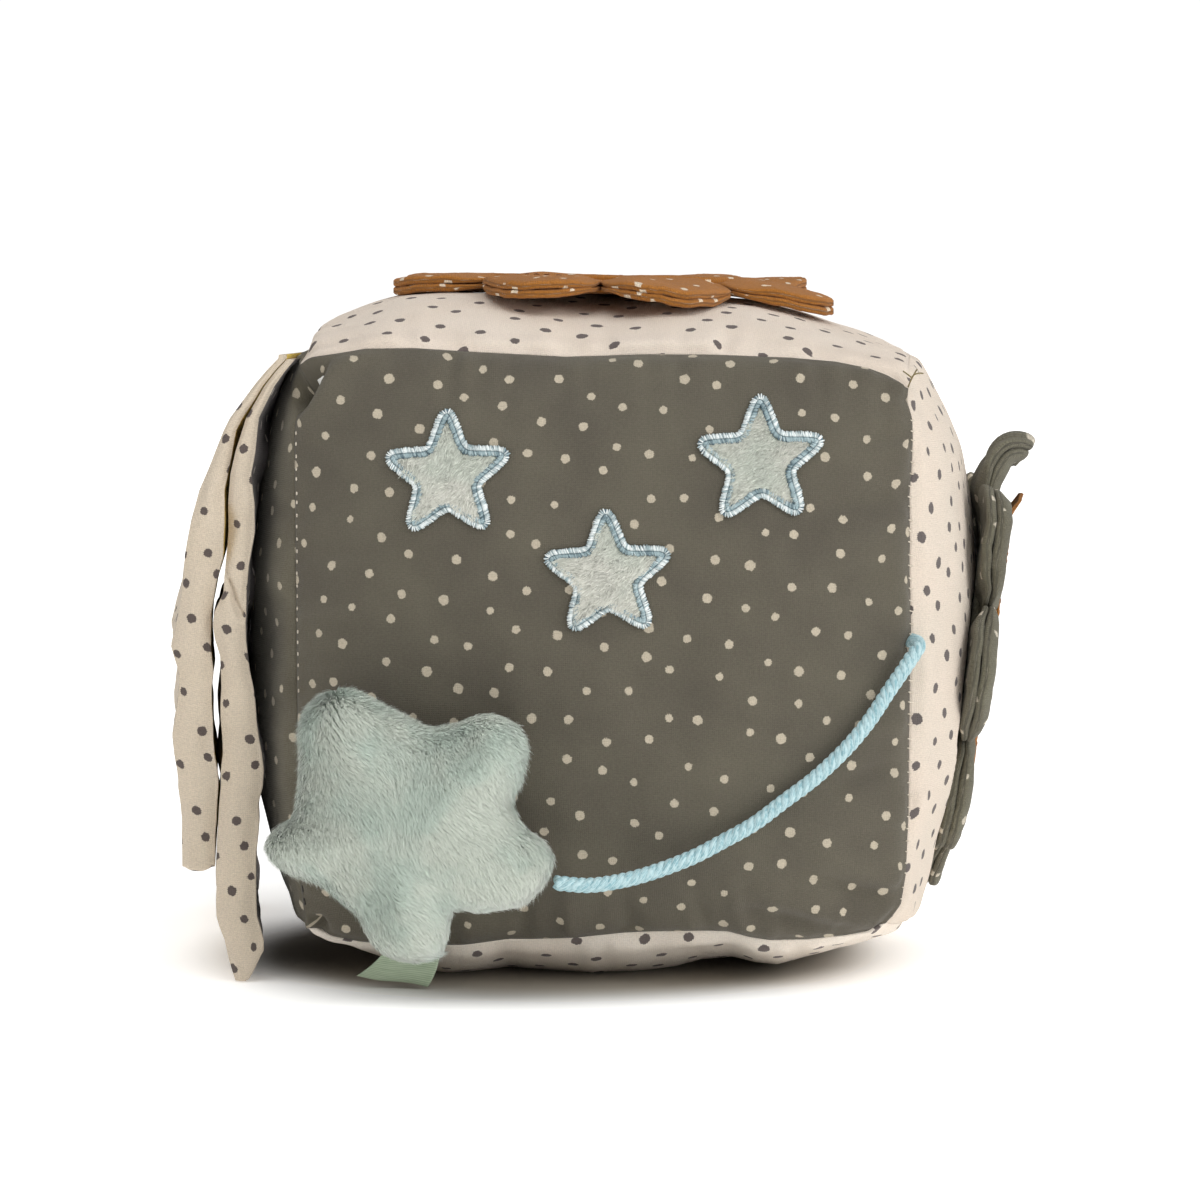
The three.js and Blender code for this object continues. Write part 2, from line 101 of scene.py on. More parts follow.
def build(name, V, faces, uv=None, mats=(), face_mat=None, flat=False, weld=None, normals=None):
    """a mesh object from points in mm, lists of faces and one uv for each point"""
    V = np.asarray(V, float).reshape(-1, 3) * MM
    faces = [np.asarray(f, np.int64) for f in (faces if isinstance(faces, (list, tuple)) else [faces]) if len(f)]
    loops = np.concatenate([f.ravel() for f in faces])
    sizes = np.concatenate([np.full(len(f), f.shape[1]) for f in faces])
    starts = np.concatenate([[0], np.cumsum(sizes)[:-1]])
    me = bpy.data.meshes.new(name)
    me.vertices.add(len(V))
    me.vertices.foreach_set("co", V.ravel())
    me.loops.add(len(loops))
    me.loops.foreach_set("vertex_index", loops.astype(np.int32))
    me.polygons.add(len(sizes))
    me.polygons.foreach_set("loop_start", starts.astype(np.int32))
    me.polygons.foreach_set("loop_total", sizes.astype(np.int32))
    if face_mat is not None:
        me.polygons.foreach_set("material_index", np.asarray(face_mat, np.int32))
    me.update(calc_edges=True)
    if uv is not None:
        layer = me.uv_layers.new(name="UVMap")
        layer.data.foreach_set("uv", np.asarray(uv, float).reshape(-1, 2)[loops].ravel())
    me.polygons.foreach_set("use_smooth", np.full(len(sizes), not flat))
    for m in mats if isinstance(mats, (list, tuple)) else [mats]:
        me.materials.append(m)
    if weld:
        bm = bmesh.new()
        bm.from_mesh(me)
        bmesh.ops.remove_doubles(bm, verts=bm.verts, dist=weld * MM)
        bmesh.ops.dissolve_degenerate(bm, edges=bm.edges, dist=weld * MM * 0.5)
        bm.to_mesh(me)
        bm.free()
    if normals is not None:
        me.normals_split_custom_set_from_vertices(np.asarray(normals, float).reshape(-1, 3).tolist())
    ob = bpy.data.objects.new(name, me)
    bpy.context.scene.collection.objects.link(ob)
    return ob


def grid_faces(nu, nv, off=0, flip=False, wrap=False):
    m = nu if wrap else nu - 1
    i, j = np.meshgrid(np.arange(m), np.arange(nv - 1), indexing="ij")
    i, j = i.ravel(), j.ravel()
    k = (i + 1) % nu
    f = np.stack([i * nv + j, k * nv + j, k * nv + j + 1, i * nv + j + 1], 1) + off
    return f[:, ::-1] if flip else f


def rim_faces(nu, nv, lower):
    """quads between the borders of two equal grids, the first at 0 and the second at lower"""
    b = [i * nv for i in range(nu)] + [(nu - 1) * nv + j for j in range(1, nv)]
    b += [i * nv + nv - 1 for i in range(nu - 2, -1, -1)] + [j for j in range(nv - 2, 0, -1)]
    b = np.array(b)
    c = np.roll(b, -1)
    return np.stack([b, b + lower, c + lower, c], 1)


def shell(name, outer, inner, uv, mats, weld=None):
    """a closed shell between two grids of points; outer's u then v directions turn towards its outward side"""
    nu, nv = outer.shape[:2]
    V = np.concatenate([outer.reshape(-1, 3), inner.reshape(-1, 3)])
    F = np.concatenate([grid_faces(nu, nv), grid_faces(nu, nv, nu * nv, True), rim_faces(nu, nv, nu * nv)])
    return build(name, V, F, np.concatenate([uv.reshape(-1, 2)] * 2), mats, weld=weld)


def flat_lengths(P, mid_u=None, mid_v=None):
    """distances along both directions of a grid of points, from its middle: the cloth's own flat coordinates"""
    nu, nv = P.shape[:2]
    du = np.concatenate([np.zeros((1, nv)), np.cumsum(np.linalg.norm(np.diff(P, axis=0), axis=2), 0)], 0)
    dv = np.concatenate([np.zeros((nu, 1)), np.cumsum(np.linalg.norm(np.diff(P, axis=1), axis=2), 1)], 1)
    mu, mv = (nu // 2 if mid_u is None else mid_u), (nv // 2 if mid_v is None else mid_v)
    return np.stack([du - du[mu:mu + 1], dv - dv[:, mv:mv + 1]], 2)


def tube_mesh(path, radius, sides=8, closed_ends=True, radii=None, up=(0.13, 0.2, 0.97)):
    """points, quads and (round, along) coordinates of a tube along a path in mm"""
    path = np.asarray(path, float)
    n = len(path)
    tan = unit(np.gradient(path, axis=0))
    ref = np.asarray(up, float)
    a = unit(np.cross(tan, ref))
    for k in range(1, n):  # carries the frame along without twist
        v = a[k - 1] - tan[k] * (a[k - 1] @ tan[k])
        a[k] = v / max(np.linalg.norm(v), 1e-9)
    b = np.cross(tan, a)
    t = np.arange(sides) / sides * 2 * math.pi
    r = (np.full(n, radius) if radii is None else np.asarray(radii, float))[:, None, None]
    ring = path[:, None] + r * (np.cos(t)[None, :, None] * a[:, None] + np.sin(t)[None, :, None] * b[:, None])
    i, j = np.meshgrid(np.arange(n - 1), np.arange(sides), indexing="ij")
    i, j = i.ravel(), j.ravel()
    k = (j + 1) % sides
    F = np.stack([i * sides + j, i * sides + k, (i + 1) * sides + k, (i + 1) * sides + j], 1)
    length = np.concatenate([[0], np.cumsum(np.linalg.norm(np.diff(path, axis=0), axis=1))])
    uv = np.stack(np.broadcast_arrays((t / (2 * math.pi))[None], length[:, None]), 2)
    V, uv = ring.reshape(-1, 3), uv.reshape(-1, 2)
    T = []
    if closed_ends:
        c = len(V)
        V = np.concatenate([V, path[[0, -1]]])
        uv = np.concatenate([uv, [[0.5, 0], [0.5, length[-1]]]])
        j = np.arange(sides)
        T = np.concatenate([np.stack([np.full(sides, c), (j + 1) % sides, j], 1),
                            np.stack([np.full(sides, c + 1), (n - 1) * sides + j, (n - 1) * sides + (j + 1) % sides], 1)])
    return V, F, T, uv


class Pile:
    """gathers many small tubes or patches into one mesh"""

    def __init__(self):
        self.V, self.Q, self.T, self.uv, self.n = [], [], [], [], 0

    def tube(self, path, radius, sides=6, tag=None, radii=None, share=False):
        V, Q, T, uv = tube_mesh(path, radius, sides, radii=radii)
        if tag is not None:
            uv = np.stack([np.full(len(uv), tag), uv[:, 1] / (uv[:, 1].max() if share else 1.0)], 1)
        self.V.append(V)
        self.Q.append(Q + self.n)
        self.T.append(np.asarray(T) + self.n)
        self.uv.append(uv)
        self.n += len(V)

    def make(self, name, mat):
        return build(name, np.concatenate(self.V), [np.concatenate(self.Q), np.concatenate(self.T)], np.concatenate(self.uv), mat)


# ---------------------------------------------------------------- materials
def rgb(h):
    c = [int(h[i:i + 2], 16) / 255 for i in (0, 2, 4)]
    return [x / 12.92 if x <= 0.04045 else ((x + 0.055) / 1.055) ** 2.4 for x in c] + [1.0]


def material(name):
    m = bpy.data.materials.new(name)
    m.use_nodes = True
    t = m.node_tree
    t.nodes.clear()
    out = t.nodes.new("ShaderNodeOutputMaterial")
    b = t.nodes.new("ShaderNodeBsdfPrincipled")
    t.links.new(b.outputs[0], out.inputs[0])
    return m, t, b


def node(t, kind, ins=None, **props):
    n = t.nodes.new("ShaderNode" + kind)
    for k, v in props.items():
        setattr(n, k, v)
    for k, v in (ins or {}).items():
        s = n.inputs[k]
        if isinstance(v, bpy.types.NodeSocket):
            t.links.new(v, s)
        else:
            s.default_value = v
    return n


def mth(t, op, a, b=None, c=None, clamp=False):
    n = node(t, "Math", operation=op, use_clamp=clamp)
    for i, v in enumerate((a, b, c)):
        if v is None:
            continue
        if isinstance(v, bpy.types.NodeSocket):
            t.links.new(v, n.inputs[i])
        else:
            n.inputs[i].default_value = v
    return n.outputs[0]


def mix(t, fac, a, b, blend="MIX"):
    n = node(t, "Mix", data_type="RGBA", blend_type=blend)
    for s, v in ((n.inputs[0], fac), (n.inputs[6], a), (n.inputs[7], b)):
        if isinstance(v, bpy.types.NodeSocket):
            t.links.new(v, s)
        else:
            s.default_value = v
    return n.outputs[2]


def span(t, v, a, b, lo=0.0, hi=1.0):
    return node(t, "MapRange", {"Value": v, "From Min": a, "From Max": b, "To Min": lo, "To Max": hi}, interpolation_type="SMOOTHSTEP").outputs[0]


def scaled(t, vec, s, turn=0.0, move=(0, 0, 0)):
    return node(t, "Mapping", {"Vector": vec, "Scale": s, "Rotation": (0, 0, math.radians(turn)), "Location": move}).outputs[0]


def tex(t, vec, scale, detail=2.0, rough=0.5, dims="3D"):
    return node(t, "TexNoise", {"Vector": vec, "Scale": scale, "Detail": detail, "Roughness": rough}, noise_dimensions=dims).outputs[0]


def set_in(b, **kw):
    for k, v in kw.items():
        b.inputs[k.replace("_", " ")].default_value = v


def cotton(name, base, dot=None, second=None, r=0.88, cell=7.9, jitter=0.42, turn=17.0, move=(0.0, 0.0, 0.0),
           pitch=0.38, bump=0.5, sheen=0.12, shade_and_tone=0.16, squeeze=1.0):
    """plain-woven cotton: thread crossings with painted shade in the dips between them, uneven threads, a printed dot
    pattern. uv is in mm on the flat cloth
    """
    m, t, b = material(name)
    uv = node(t, "UVMap", uv_map="UVMap").outputs[0]
    sep = node(t, "SeparateXYZ", {0: uv})
    u, v = sep.outputs[0], sep.outputs[1]
    wob = tex(t, uv, 0.35, 1.0, 0.5, "2D")
    uu = mth(t, "MULTIPLY_ADD", wob, 0.5, u)
    vv = mth(t, "MULTIPLY_ADD", wob, -0.4, v)
    cu = mth(t, "SINE", mth(t, "MULTIPLY", uu, math.pi / pitch))
    cv = mth(t, "SINE", mth(t, "MULTIPLY", vv, math.pi / (pitch * 1.05)))
    cross = mth(t, "MULTIPLY", cu, cv)
    lift = mth(t, "POWER", mth(t, "ABSOLUTE", cross), 0.6)
    over = mth(t, "GREATER_THAN", cross, 0.0)
    warp = tex(t, scaled(t, uv, (3.4, 0.55, 1)), 1.0, 2.0, 0.6, "2D")
    weft = tex(t, scaled(t, uv, (0.55, 3.4, 1)), 1.0, 2.0, 0.6, "2D")
    thread = mth(t, "ADD", mth(t, "MULTIPLY", warp, over), mth(t, "MULTIPLY", weft, mth(t, "SUBTRACT", 1.0, over)))
    cloud = tex(t, uv, 0.06, 2.0, 0.5, "2D")
    base_c, second_c = rgb(base), rgb(second or base)
    col = mix(t, span(t, mth(t, "ADD", mth(t, "MULTIPLY", thread, 0.45), mth(t, "MULTIPLY", cloud, 0.55)), 0.3, 0.7), base_c, second_c)
    speck = span(t, tex(t, scaled(t, uv, (1.7, 3.1, 1)), 1.0, 2.0, 0.7, "2D"), 0.34, 0.66)
    # this multiplier darkens the colour where the weave dips between crossings (lift low), a painted shade in the
    # weave's hollows; its thread and speck terms are the cloth's own uneven tone
    k = mth(t, "ADD", 1.0 - shade_and_tone, mth(t, "MULTIPLY", mth(t, "ADD", mth(t, "MULTIPLY", lift, 0.7), mth(t, "ADD", mth(t, "MULTIPLY", span(t, thread, 0.3, 0.7), 0.6), mth(t, "MULTIPLY", speck, 0.7))), shade_and_tone))
    k = mth(t, "MULTIPLY", k, span(t, cloud, 0.3, 0.7, 0.97, 1.03))
    if dot:
        spread = scaled(t, uv, (1.0 / cell, 1.0 / cell, 1), turn, move)
        vor = node(t, "TexVoronoi", {"Vector": spread, "Scale": 1.0, "Randomness": jitter}, voronoi_dimensions="2D", feature="F1")
        edge = tex(t, uv, 1.3, 2.0, 0.6, "2D")
        size = tex(t, vor.outputs["Position"], 2.3, 0.0, 0.5, "2D")
        dist = mth(t, "MULTIPLY", vor.outputs["Distance"], cell)
        dist = mth(t, "ADD", dist, mth(t, "MULTIPLY", mth(t, "SUBTRACT", edge, 0.5), 0.5))
        dist = mth(t, "ADD", dist, mth(t, "MULTIPLY", mth(t, "SUBTRACT", size, 0.5), 0.5))
        dist = mth(t, "ADD", dist, mth(t, "MULTIPLY", mth(t, "SUBTRACT", lift, 0.5), 0.12))
        inside = span(t, dist, r - 0.1, r + 0.1, 1.0, 0.0)
        dots = mix(t, mth(t, "MULTIPLY", thread, 0.5), rgb(dot), [x * 0.86 for x in rgb(dot)[:3]] + [1.0])
        col = mix(t, mth(t, "MULTIPLY", inside, 0.94), col, dots)
    shade = node(t, "CombineColor", {0: k, 1: k, 2: k})
    col = mix(t, 1.0, col, shade.outputs[0], "MULTIPLY")
    t.links.new(col, b.inputs["Base Color"])
    h = mth(t, "ADD", mth(t, "MULTIPLY", lift, 0.7), mth(t, "MULTIPLY", thread, 0.9))
    bp = node(t, "Bump", {"Height": h, "Distance": 0.00022, "Strength": bump})
    t.links.new(bp.outputs[0], b.inputs["Normal"])
    rough = mth(t, "ADD", 0.8, mth(t, "MULTIPLY", thread, 0.14))
    t.links.new(rough, b.inputs["Roughness"])
    set_in(b, Sheen_Weight=sheen, Sheen_Roughness=0.5, Specular_IOR_Level=0.25)
    return m


def plush(name, root_shade_c, tip_c, lean_shade_c):
    """pile blades, darker towards the root as a painted shade deep in the pile, with patches of a cooler tint as
    painted shading of pile that lies another way: uv is (a number of its own, share of the length)
    """
    m, t, b = material(name)
    uv = node(t, "UVMap", uv_map="UVMap").outputs[0]
    sep = node(t, "SeparateXYZ", {0: uv})
    rnd, along = sep.outputs[0], sep.outputs[1]
    obj = node(t, "TexCoord").outputs["Object"]
    patch = tex(t, obj, 75.0, 2.0, 0.5)
    # painted shade: the colour darkens from the tip down to the root
    col = mix(t, span(t, along, 0.0, 0.8), rgb(root_shade_c), rgb(tip_c))
    # painted shading: patches tinted cooler and darker, where the pile lies another way
    col = mix(t, span(t, patch, 0.42, 0.66, 0.0, 0.55), col, rgb(lean_shade_c))
    k = mth(t, "MULTIPLY_ADD", rnd, 0.16, 0.92)
    col = mix(t, 1.0, col, node(t, "CombineColor", {0: k, 1: k, 2: k}).outputs[0], "MULTIPLY")
    t.links.new(col, b.inputs["Base Color"])
    t.links.new(mth(t, "MULTIPLY_ADD", rnd, 0.2, 0.6), b.inputs["Roughness"])
    set_in(b, Sheen_Weight=0.6, Sheen_Roughness=0.4, Specular_IOR_Level=0.3)
    return m


def backing(name, base):
    """the knitted ground that a pile grows from"""
    m, t, b = material(name)
    obj = node(t, "TexCoord").outputs["Object"]
    f = tex(t, obj, 900.0, 3.0, 0.6)
    c = rgb(base)
    t.links.new(mix(t, span(t, f, 0.35, 0.65), c, [x * 0.8 for x in c[:3]] + [1.0]), b.inputs["Base Color"])
    bp = node(t, "Bump", {"Height": f, "Distance": 0.0004, "Strength": 0.7})
    t.links.new(bp.outputs[0], b.inputs["Normal"])
    t.links.new(mth(t, "MULTIPLY_ADD", f, 0.1, 0.85), b.inputs["Roughness"])
    set_in(b, Sheen_Weight=0.3, Specular_IOR_Level=0.2)
    return m


def thread(name, base, low, shine=0.42, twist=9.0, along=1.2, spec=0.5, depth=0.00012):
    """spun or floss thread: uv is (round the thread or its own number, mm along it)"""
    m, t, b = material(name)
    uv = node(t, "UVMap", uv_map="UVMap").outputs[0]
    fib = tex(t, scaled(t, uv, (twist, along, 1), 12.0), 1.0, 3.0, 0.65, "2D")
    own = tex(t, scaled(t, uv, (37.0, 0.02, 1)), 1.0, 0.0, 0.5, "2D")
    f = mth(t, "ADD", mth(t, "MULTIPLY", fib, 0.65), mth(t, "MULTIPLY", own, 0.35))
    t.links.new(mix(t, span(t, f, 0.34, 0.6), rgb(low), rgb(base)), b.inputs["Base Color"])
    bp = node(t, "Bump", {"Height": fib, "Distance": depth, "Strength": 0.6})
    t.links.new(bp.outputs[0], b.inputs["Normal"])
    t.links.new(mth(t, "MULTIPLY_ADD", fib, 0.25, shine - 0.1), b.inputs["Roughness"])
    set_in(b, Specular_IOR_Level=spec, Sheen_Weight=0.1)
    return m


def satin(name):
    """satin stitches across a border, coloured with a painted highlight along its two rails and painted shade in the
    middle groove and at the outer end: uv is (each stitch's own number, 0 at the inner to 1 at the outer end)
    """
    m, t, b = material(name)
    uv = node(t, "UVMap", uv_map="UVMap").outputs[0]
    sep = node(t, "SeparateXYZ", {0: uv})
    v = sep.outputs[1]
    own = span(t, tex(t, scaled(t, uv, (31.0, 0.4, 1)), 1.0, 1.0, 0.5, "2D"), 0.3, 0.7)
    highlight_drift = span(t, tex(t, scaled(t, uv, (1.5, 0.4, 1), 0.0, (3.1, 0, 0)), 1.0, 2.0, 0.6, "2D"), 0.34, 0.66)
    fib = tex(t, scaled(t, uv, (60.0, 3.0, 1)), 1.0, 2.0, 0.6, "2D")
    # painted highlight along the two rails, painted shade in the middle groove and darkening at the outer end
    rail_highlight = mth(t, "ADD", span(t, v, 0.02, 0.2, 0.05, 0.40), mth(t, "ADD", span(t, v, 0.46, 0.62, 0.0, 0.40), span(t, v, 0.92, 1.0, 0.0, -0.25)))
    groove_shade = mth(t, "SUBTRACT", 1.0, mth(t, "MULTIPLY", mth(t, "ABSOLUTE", mth(t, "SUBTRACT", v, 0.46)), 10.0), clamp=True)
    # in stretches along the border the painted highlight shifts towards one rail or the other
    lean = mth(t, "MULTIPLY", mth(t, "SUBTRACT", v, 0.5), mth(t, "SUBTRACT", highlight_drift, 0.6))
    w = mth(t, "ADD", rail_highlight, mth(t, "MULTIPLY_ADD", lean, 0.75, mth(t, "MULTIPLY", groove_shade, -0.42)))
    w = mth(t, "ADD", w, mth(t, "ADD", mth(t, "MULTIPLY_ADD", own, 0.42, -0.21), mth(t, "MULTIPLY_ADD", fib, 0.3, -0.15)), clamp=True)
    # dark blue-grey is painted shade, the middle blue-grey is the thread's own colour, near-white is a painted
    # highlight
    col = mix(t, span(t, w, 0.0, 0.45), rgb("516c78"), rgb("a2b8bd"))
    col = mix(t, span(t, w, 0.45, 0.95), col, rgb("f1f7f6"))
    k = mth(t, "MULTIPLY_ADD", own, 0.14, 0.86)
    col = mix(t, 1.0, col, node(t, "CombineColor", {0: k, 1: k, 2: k}).outputs[0], "MULTIPLY")
    t.links.new(col, b.inputs["Base Color"])
    bp = node(t, "Bump", {"Height": fib, "Distance": 0.00008, "Strength": 0.5})
    t.links.new(bp.outputs[0], b.inputs["Normal"])
    t.links.new(mth(t, "MULTIPLY_ADD", own, 0.2, 0.3), b.inputs["Roughness"])
    set_in(b, Specular_IOR_Level=0.6, Sheen_Weight=0.1)
    return m


def plastic(name, base, scuff):
    m, t, b = material(name)
    obj = node(t, "TexCoord").outputs["Object"]
    f, g = tex(t, obj, 260.0, 3.0, 0.6), tex(t, obj, 1400.0, 2.0, 0.5)
    t.links.new(mix(t, span(t, f, 0.4, 0.7), rgb(base), rgb(scuff)), b.inputs["Base Color"])
    t.links.new(mth(t, "MULTIPLY_ADD", f, 0.3, 0.28), b.inputs["Roughness"])
    bp = node(t, "Bump", {"Height": g, "Distance": 0.00005, "Strength": 0.4})
    t.links.new(bp.outputs[0], b.inputs["Normal"])
    return m


def fibre(name, base, low):
    m, t, b = material(name)
    obj = node(t, "TexCoord").outputs["Object"]
    f = tex(t, obj, 320.0, 5.0, 0.7)
    t.links.new(mix(t, span(t, f, 0.35, 0.65), rgb(low), rgb(base)), b.inputs["Base Color"])
    bp = node(t, "Bump", {"Height": f, "Distance": 0.0015, "Strength": 0.8})
    t.links.new(bp.outputs[0], b.inputs["Normal"])
    t.links.new(mth(t, "MULTIPLY_ADD", f, 0.1, 0.86), b.inputs["Roughness"])
    set_in(b, Sheen_Weight=0.4)
    return m


def ribbon(name, base, low):
    """satin ribbon: fine ribs across, smooth edges, darker in the dips between ribs as a painted shade. uv is in mm"""
    m, t, b = material(name)
    uv = node(t, "UVMap", uv_map="UVMap").outputs[0]
    sep = node(t, "SeparateXYZ", {0: uv})
    rib = mth(t, "ABSOLUTE", mth(t, "SINE", mth(t, "MULTIPLY", sep.outputs[1], math.pi / 0.45)))
    streak = tex(t, scaled(t, uv, (0.2, 3.0, 1)), 1.0, 2.0, 0.5, "2D")
    f = mth(t, "ADD", mth(t, "MULTIPLY", rib, 0.4), mth(t, "MULTIPLY", streak, 0.6))
    t.links.new(mix(t, span(t, f, 0.2, 0.8), rgb(low), rgb(base)), b.inputs["Base Color"])
    bp = node(t, "Bump", {"Height": rib, "Distance": 0.00008, "Strength": 0.5})
    t.links.new(bp.outputs[0], b.inputs["Normal"])
    t.links.new(mth(t, "MULTIPLY_ADD", streak, 0.15, 0.38), b.inputs["Roughness"])
    set_in(b, Sheen_Weight=0.2)
    return m


# one olive fabric in several tones: the front's copy is darker than the back's and the left's, a painted shade, and the
# flower's is lighter, a painted light
M_OLIVE = cotton("olive_dotted_cotton", "656053", "c2b7a3", second="565147", move=(0.3, 0.1, 0), shade_and_tone=0.2)
M_OLIVE_SIDE = cotton("olive_dotted_cotton_left", "6f6a5b", "bfb5a1", second="575246", move=(2.3, 5.1, 0), turn=31, shade_and_tone=0.2)
M_OLIVE_BACK = cotton("olive_dotted_cotton_back", "6d685a", "c2b7a3", second="565147", move=(7.3, 3.1, 0), turn=12, shade_and_tone=0.2)
M_OLIVE_FLOWER = cotton("olive_dotted_cotton_flower", "73705f", "d3cab8", second="5c584a", move=(1.3, 4.4, 0), turn=28, bump=0.8, shade_and_tone=0.26, r=0.8)
# one cream fabric in several tones: against the top's, the right side's copy is darker, a painted shade; the bottom's
# is lighter, painted light for the light thrown up from the floor; the pages' copy is darker, a painted shade
M_CREAM = cotton("cream_dotted_cotton", "e5d8ca", "554b4a", second="d8cabb", move=(4.1, 2.2, 0), shade_and_tone=0.13, turn=24, r=1.1, cell=8.8)
M_CREAM_LOW = cotton("cream_bottom_cotton", "f1e8dc", "5b5150", second="e4d8ca", move=(2.2, 5.1, 0), shade_and_tone=0.13, turn=50, r=1.1, cell=8.8)
M_CREAM_SIDE = cotton("cream_dotted_cotton_right", "dcd0c1", "575050", second="d8cabb", move=(1.6, 7.2, 0), shade_and_tone=0.13, turn=40, r=1.02, cell=7.3)
M_CREAM_PAGE = cotton("cream_dotted_cotton_page", "d3c5b2", "4f4544", second="cdbfab", move=(3.2, 1.4, 0), shade_and_tone=0.18, turn=21, r=0.92, cell=6.9)
M_RUST = cotton("rust_dotted_cotton", "b27431", "efe0c8", second="9b6324", move=(5.5, 3.3, 0), shade_and_tone=0.3, r=0.78, turn=33, bump=0.8)
M_PLUM = cotton("plum_dotted_cotton", "665e5b", "cfc6bd", second="585150", move=(6.1, 0.4, 0))
M_YELLOW = cotton("yellow_cotton", "e2c458", None, second="d0ae42", shade_and_tone=0.16)
# for each pile: the root colour, darker as a painted shade, the tip colour, and a cooler tint painted in patches as
# shading
M_PLUSH = plush("mint_plush_pile", "c0cabb", "e1e8dc", "c5d9cd")
M_PATCH = plush("mint_short_pile", "ccd1c1", "f6f6ec", "dfe9dc")
M_GROUND = backing("mint_plush_ground", "b7c4b5")
# the satin stitches' colour carries painted highlights and painted shade
M_SATIN = satin("satin_stitch_thread")
# a dark thread colour for the bed under the stitches, a painted shade that shows in the gaps between them
M_SATIN_GAP_SHADE = thread("satin_stitch_bed_gap_shade", "7a94a3", "4b6574", shine=0.4, twist=60.0, along=0.5)
M_CORD = thread("aqua_cord_ply", "bcd6da", "84adb6", shine=0.62, twist=7.0, along=1.1, spec=0.3, depth=0.0002)
M_TACK = thread("cream_sewing_thread", "ded4c4", "b9ad9a", twist=14.0, along=3.0)
M_DARK_THREAD = thread("dark_sewing_thread", "3d3832", "1f1b18", twist=14.0, along=3.0)
M_OLIVE_THREAD = thread("olive_sewing_thread", "7d6f45", "574c2c", twist=14.0, along=3.0)
M_RUST_THREAD = thread("rust_sewing_thread", "8d5526", "63391a", twist=14.0, along=3.0)
M_CAPSULE = plastic("capsule_polypropylene", "f0efe9", "dddbd2")
M_BEAD = plastic("bead_plastic", "d86a4a", "b9543a")
M_FIBRE = fibre("polyester_fibre", "f7f6f2", "d9d7d0")
# the ribbon's colours are darkened all over, a painted shade for the shadow it lies in under the cube's rounded bottom
M_RIBBON_SHADED = ribbon("green_satin_ribbon", "b9c8ad", "90a485")


# ---------------------------------------------------------------- the cube's stuffed skin
CROWN_A = np.linspace(-0.2, 1.2, 281)              # the top's height to the right of its middle
CROWN_H = np.interp(CROWN_A, [0, 0.2, 0.4, 0.5, 0.62, 0.78, 0.89, 0.96, 1.0], [1.0, 0.99, 0.95, 0.885, 0.70, 0.385, 0.175, 0.05, 0.0])
for _ in range(60):
    CROWN_H[1:-1] = 0.25 * CROWN_H[:-2] + 0.5 * CROWN_H[1:-1] + 0.25 * CROWN_H[2:]
CROWN_H = np.where(CROWN_A > 0.9, CROWN_H * (1 - smooth((CROWN_A - 0.9) / 0.1)), CROWN_H)


def swell(t):
    return np.maximum(0.0, 1 - np.abs(t) ** 3) ** 0.8


def pull(p, q):
    return 1 - 0.05 * np.abs(p * q) ** 4


TILT = math.radians(8)                          # the side flower's own frame: SX up, SY to the viewer, SZ out
SF = np.array([77.2, 0.0, 60.0])
SX, SY, SZ = np.array([math.sin(TILT), 0, math.cos(TILT)]), np.array([0.0, -1.0, 0.0]), np.array([math.cos(TILT), 0, -math.sin(TILT)])
CURL = np.array([[-50, -3.6], [-48, -3.5], [-41, -2.6], [-34, -1.9], [-20, -0.9], [-8, 0.0], [20, 0.2], [26, -0.8], [31, -2.4], [35, -4.1],
                 [50, -5.0]])                                  # how far the flower stands out at each height
CURL_RUST = np.array([[-50, -3.6], [-48, -3.5], [-41, -2.6], [-34, -1.9], [-20, -0.9], [-8, 0.0], [20, 0.2], [26, -0.4], [30, -0.8], [34, -0.3], [38, 0.9],
                      [41, 1.7], [50, 2.2]])
NEAR = np.array([[-50, -2.0], [-45, -2.2], [-39, -2.5], [-24, -1.9], [-13, -2.1], [1, -1.5], [12, -1.3], [23, -1.9], [31, -2.1], [37, -3.3], [43, -3.3], [50, -3.3]])


def side_warp(curl):
    knots = np.linspace(-50, 50, 201)
    soft = np.interp(knots, curl[:, 0], curl[:, 1])
    for _ in range(12):
        soft[1:-1] = 0.25 * soft[:-2] + 0.5 * soft[1:-1] + 0.25 * soft[2:]

    def warp(x, y, R):
        r, a = np.hypot(x, y), np.degrees(np.arctan2(y, x)) / 45
        k = np.clip((r - 27) / 21, 0, 1.1)
        w = smooth((y - 5) / 30)                      # the near edge lies closer to the panel
        base = np.interp(x, knots, soft) * (1 - w) + np.interp(x, NEAR[:, 0], NEAR[:, 1]) * w
        dish = -1.5 * np.exp(-(((x - 2) / 27) ** 2) - ((y - 4) / 24) ** 2)
        return base - np.where(y > 0, 0.0, 0.00074) * y ** 2 + dish + 0.5 * k * noise((a % 8) * 2.2, r / 9, seed=44) + 0.25 * noise(x / 9, y / 9, seed=45)
    return warp


SIDE_WARP, RUST_WARP = side_warp(CURL), side_warp(CURL_RUST)


def top_plane(x, y):
    """height of the middle between the top flower's two layers"""
    return 138.6 - 0.012 * x - 0.00055 * np.maximum(0, x) ** 2


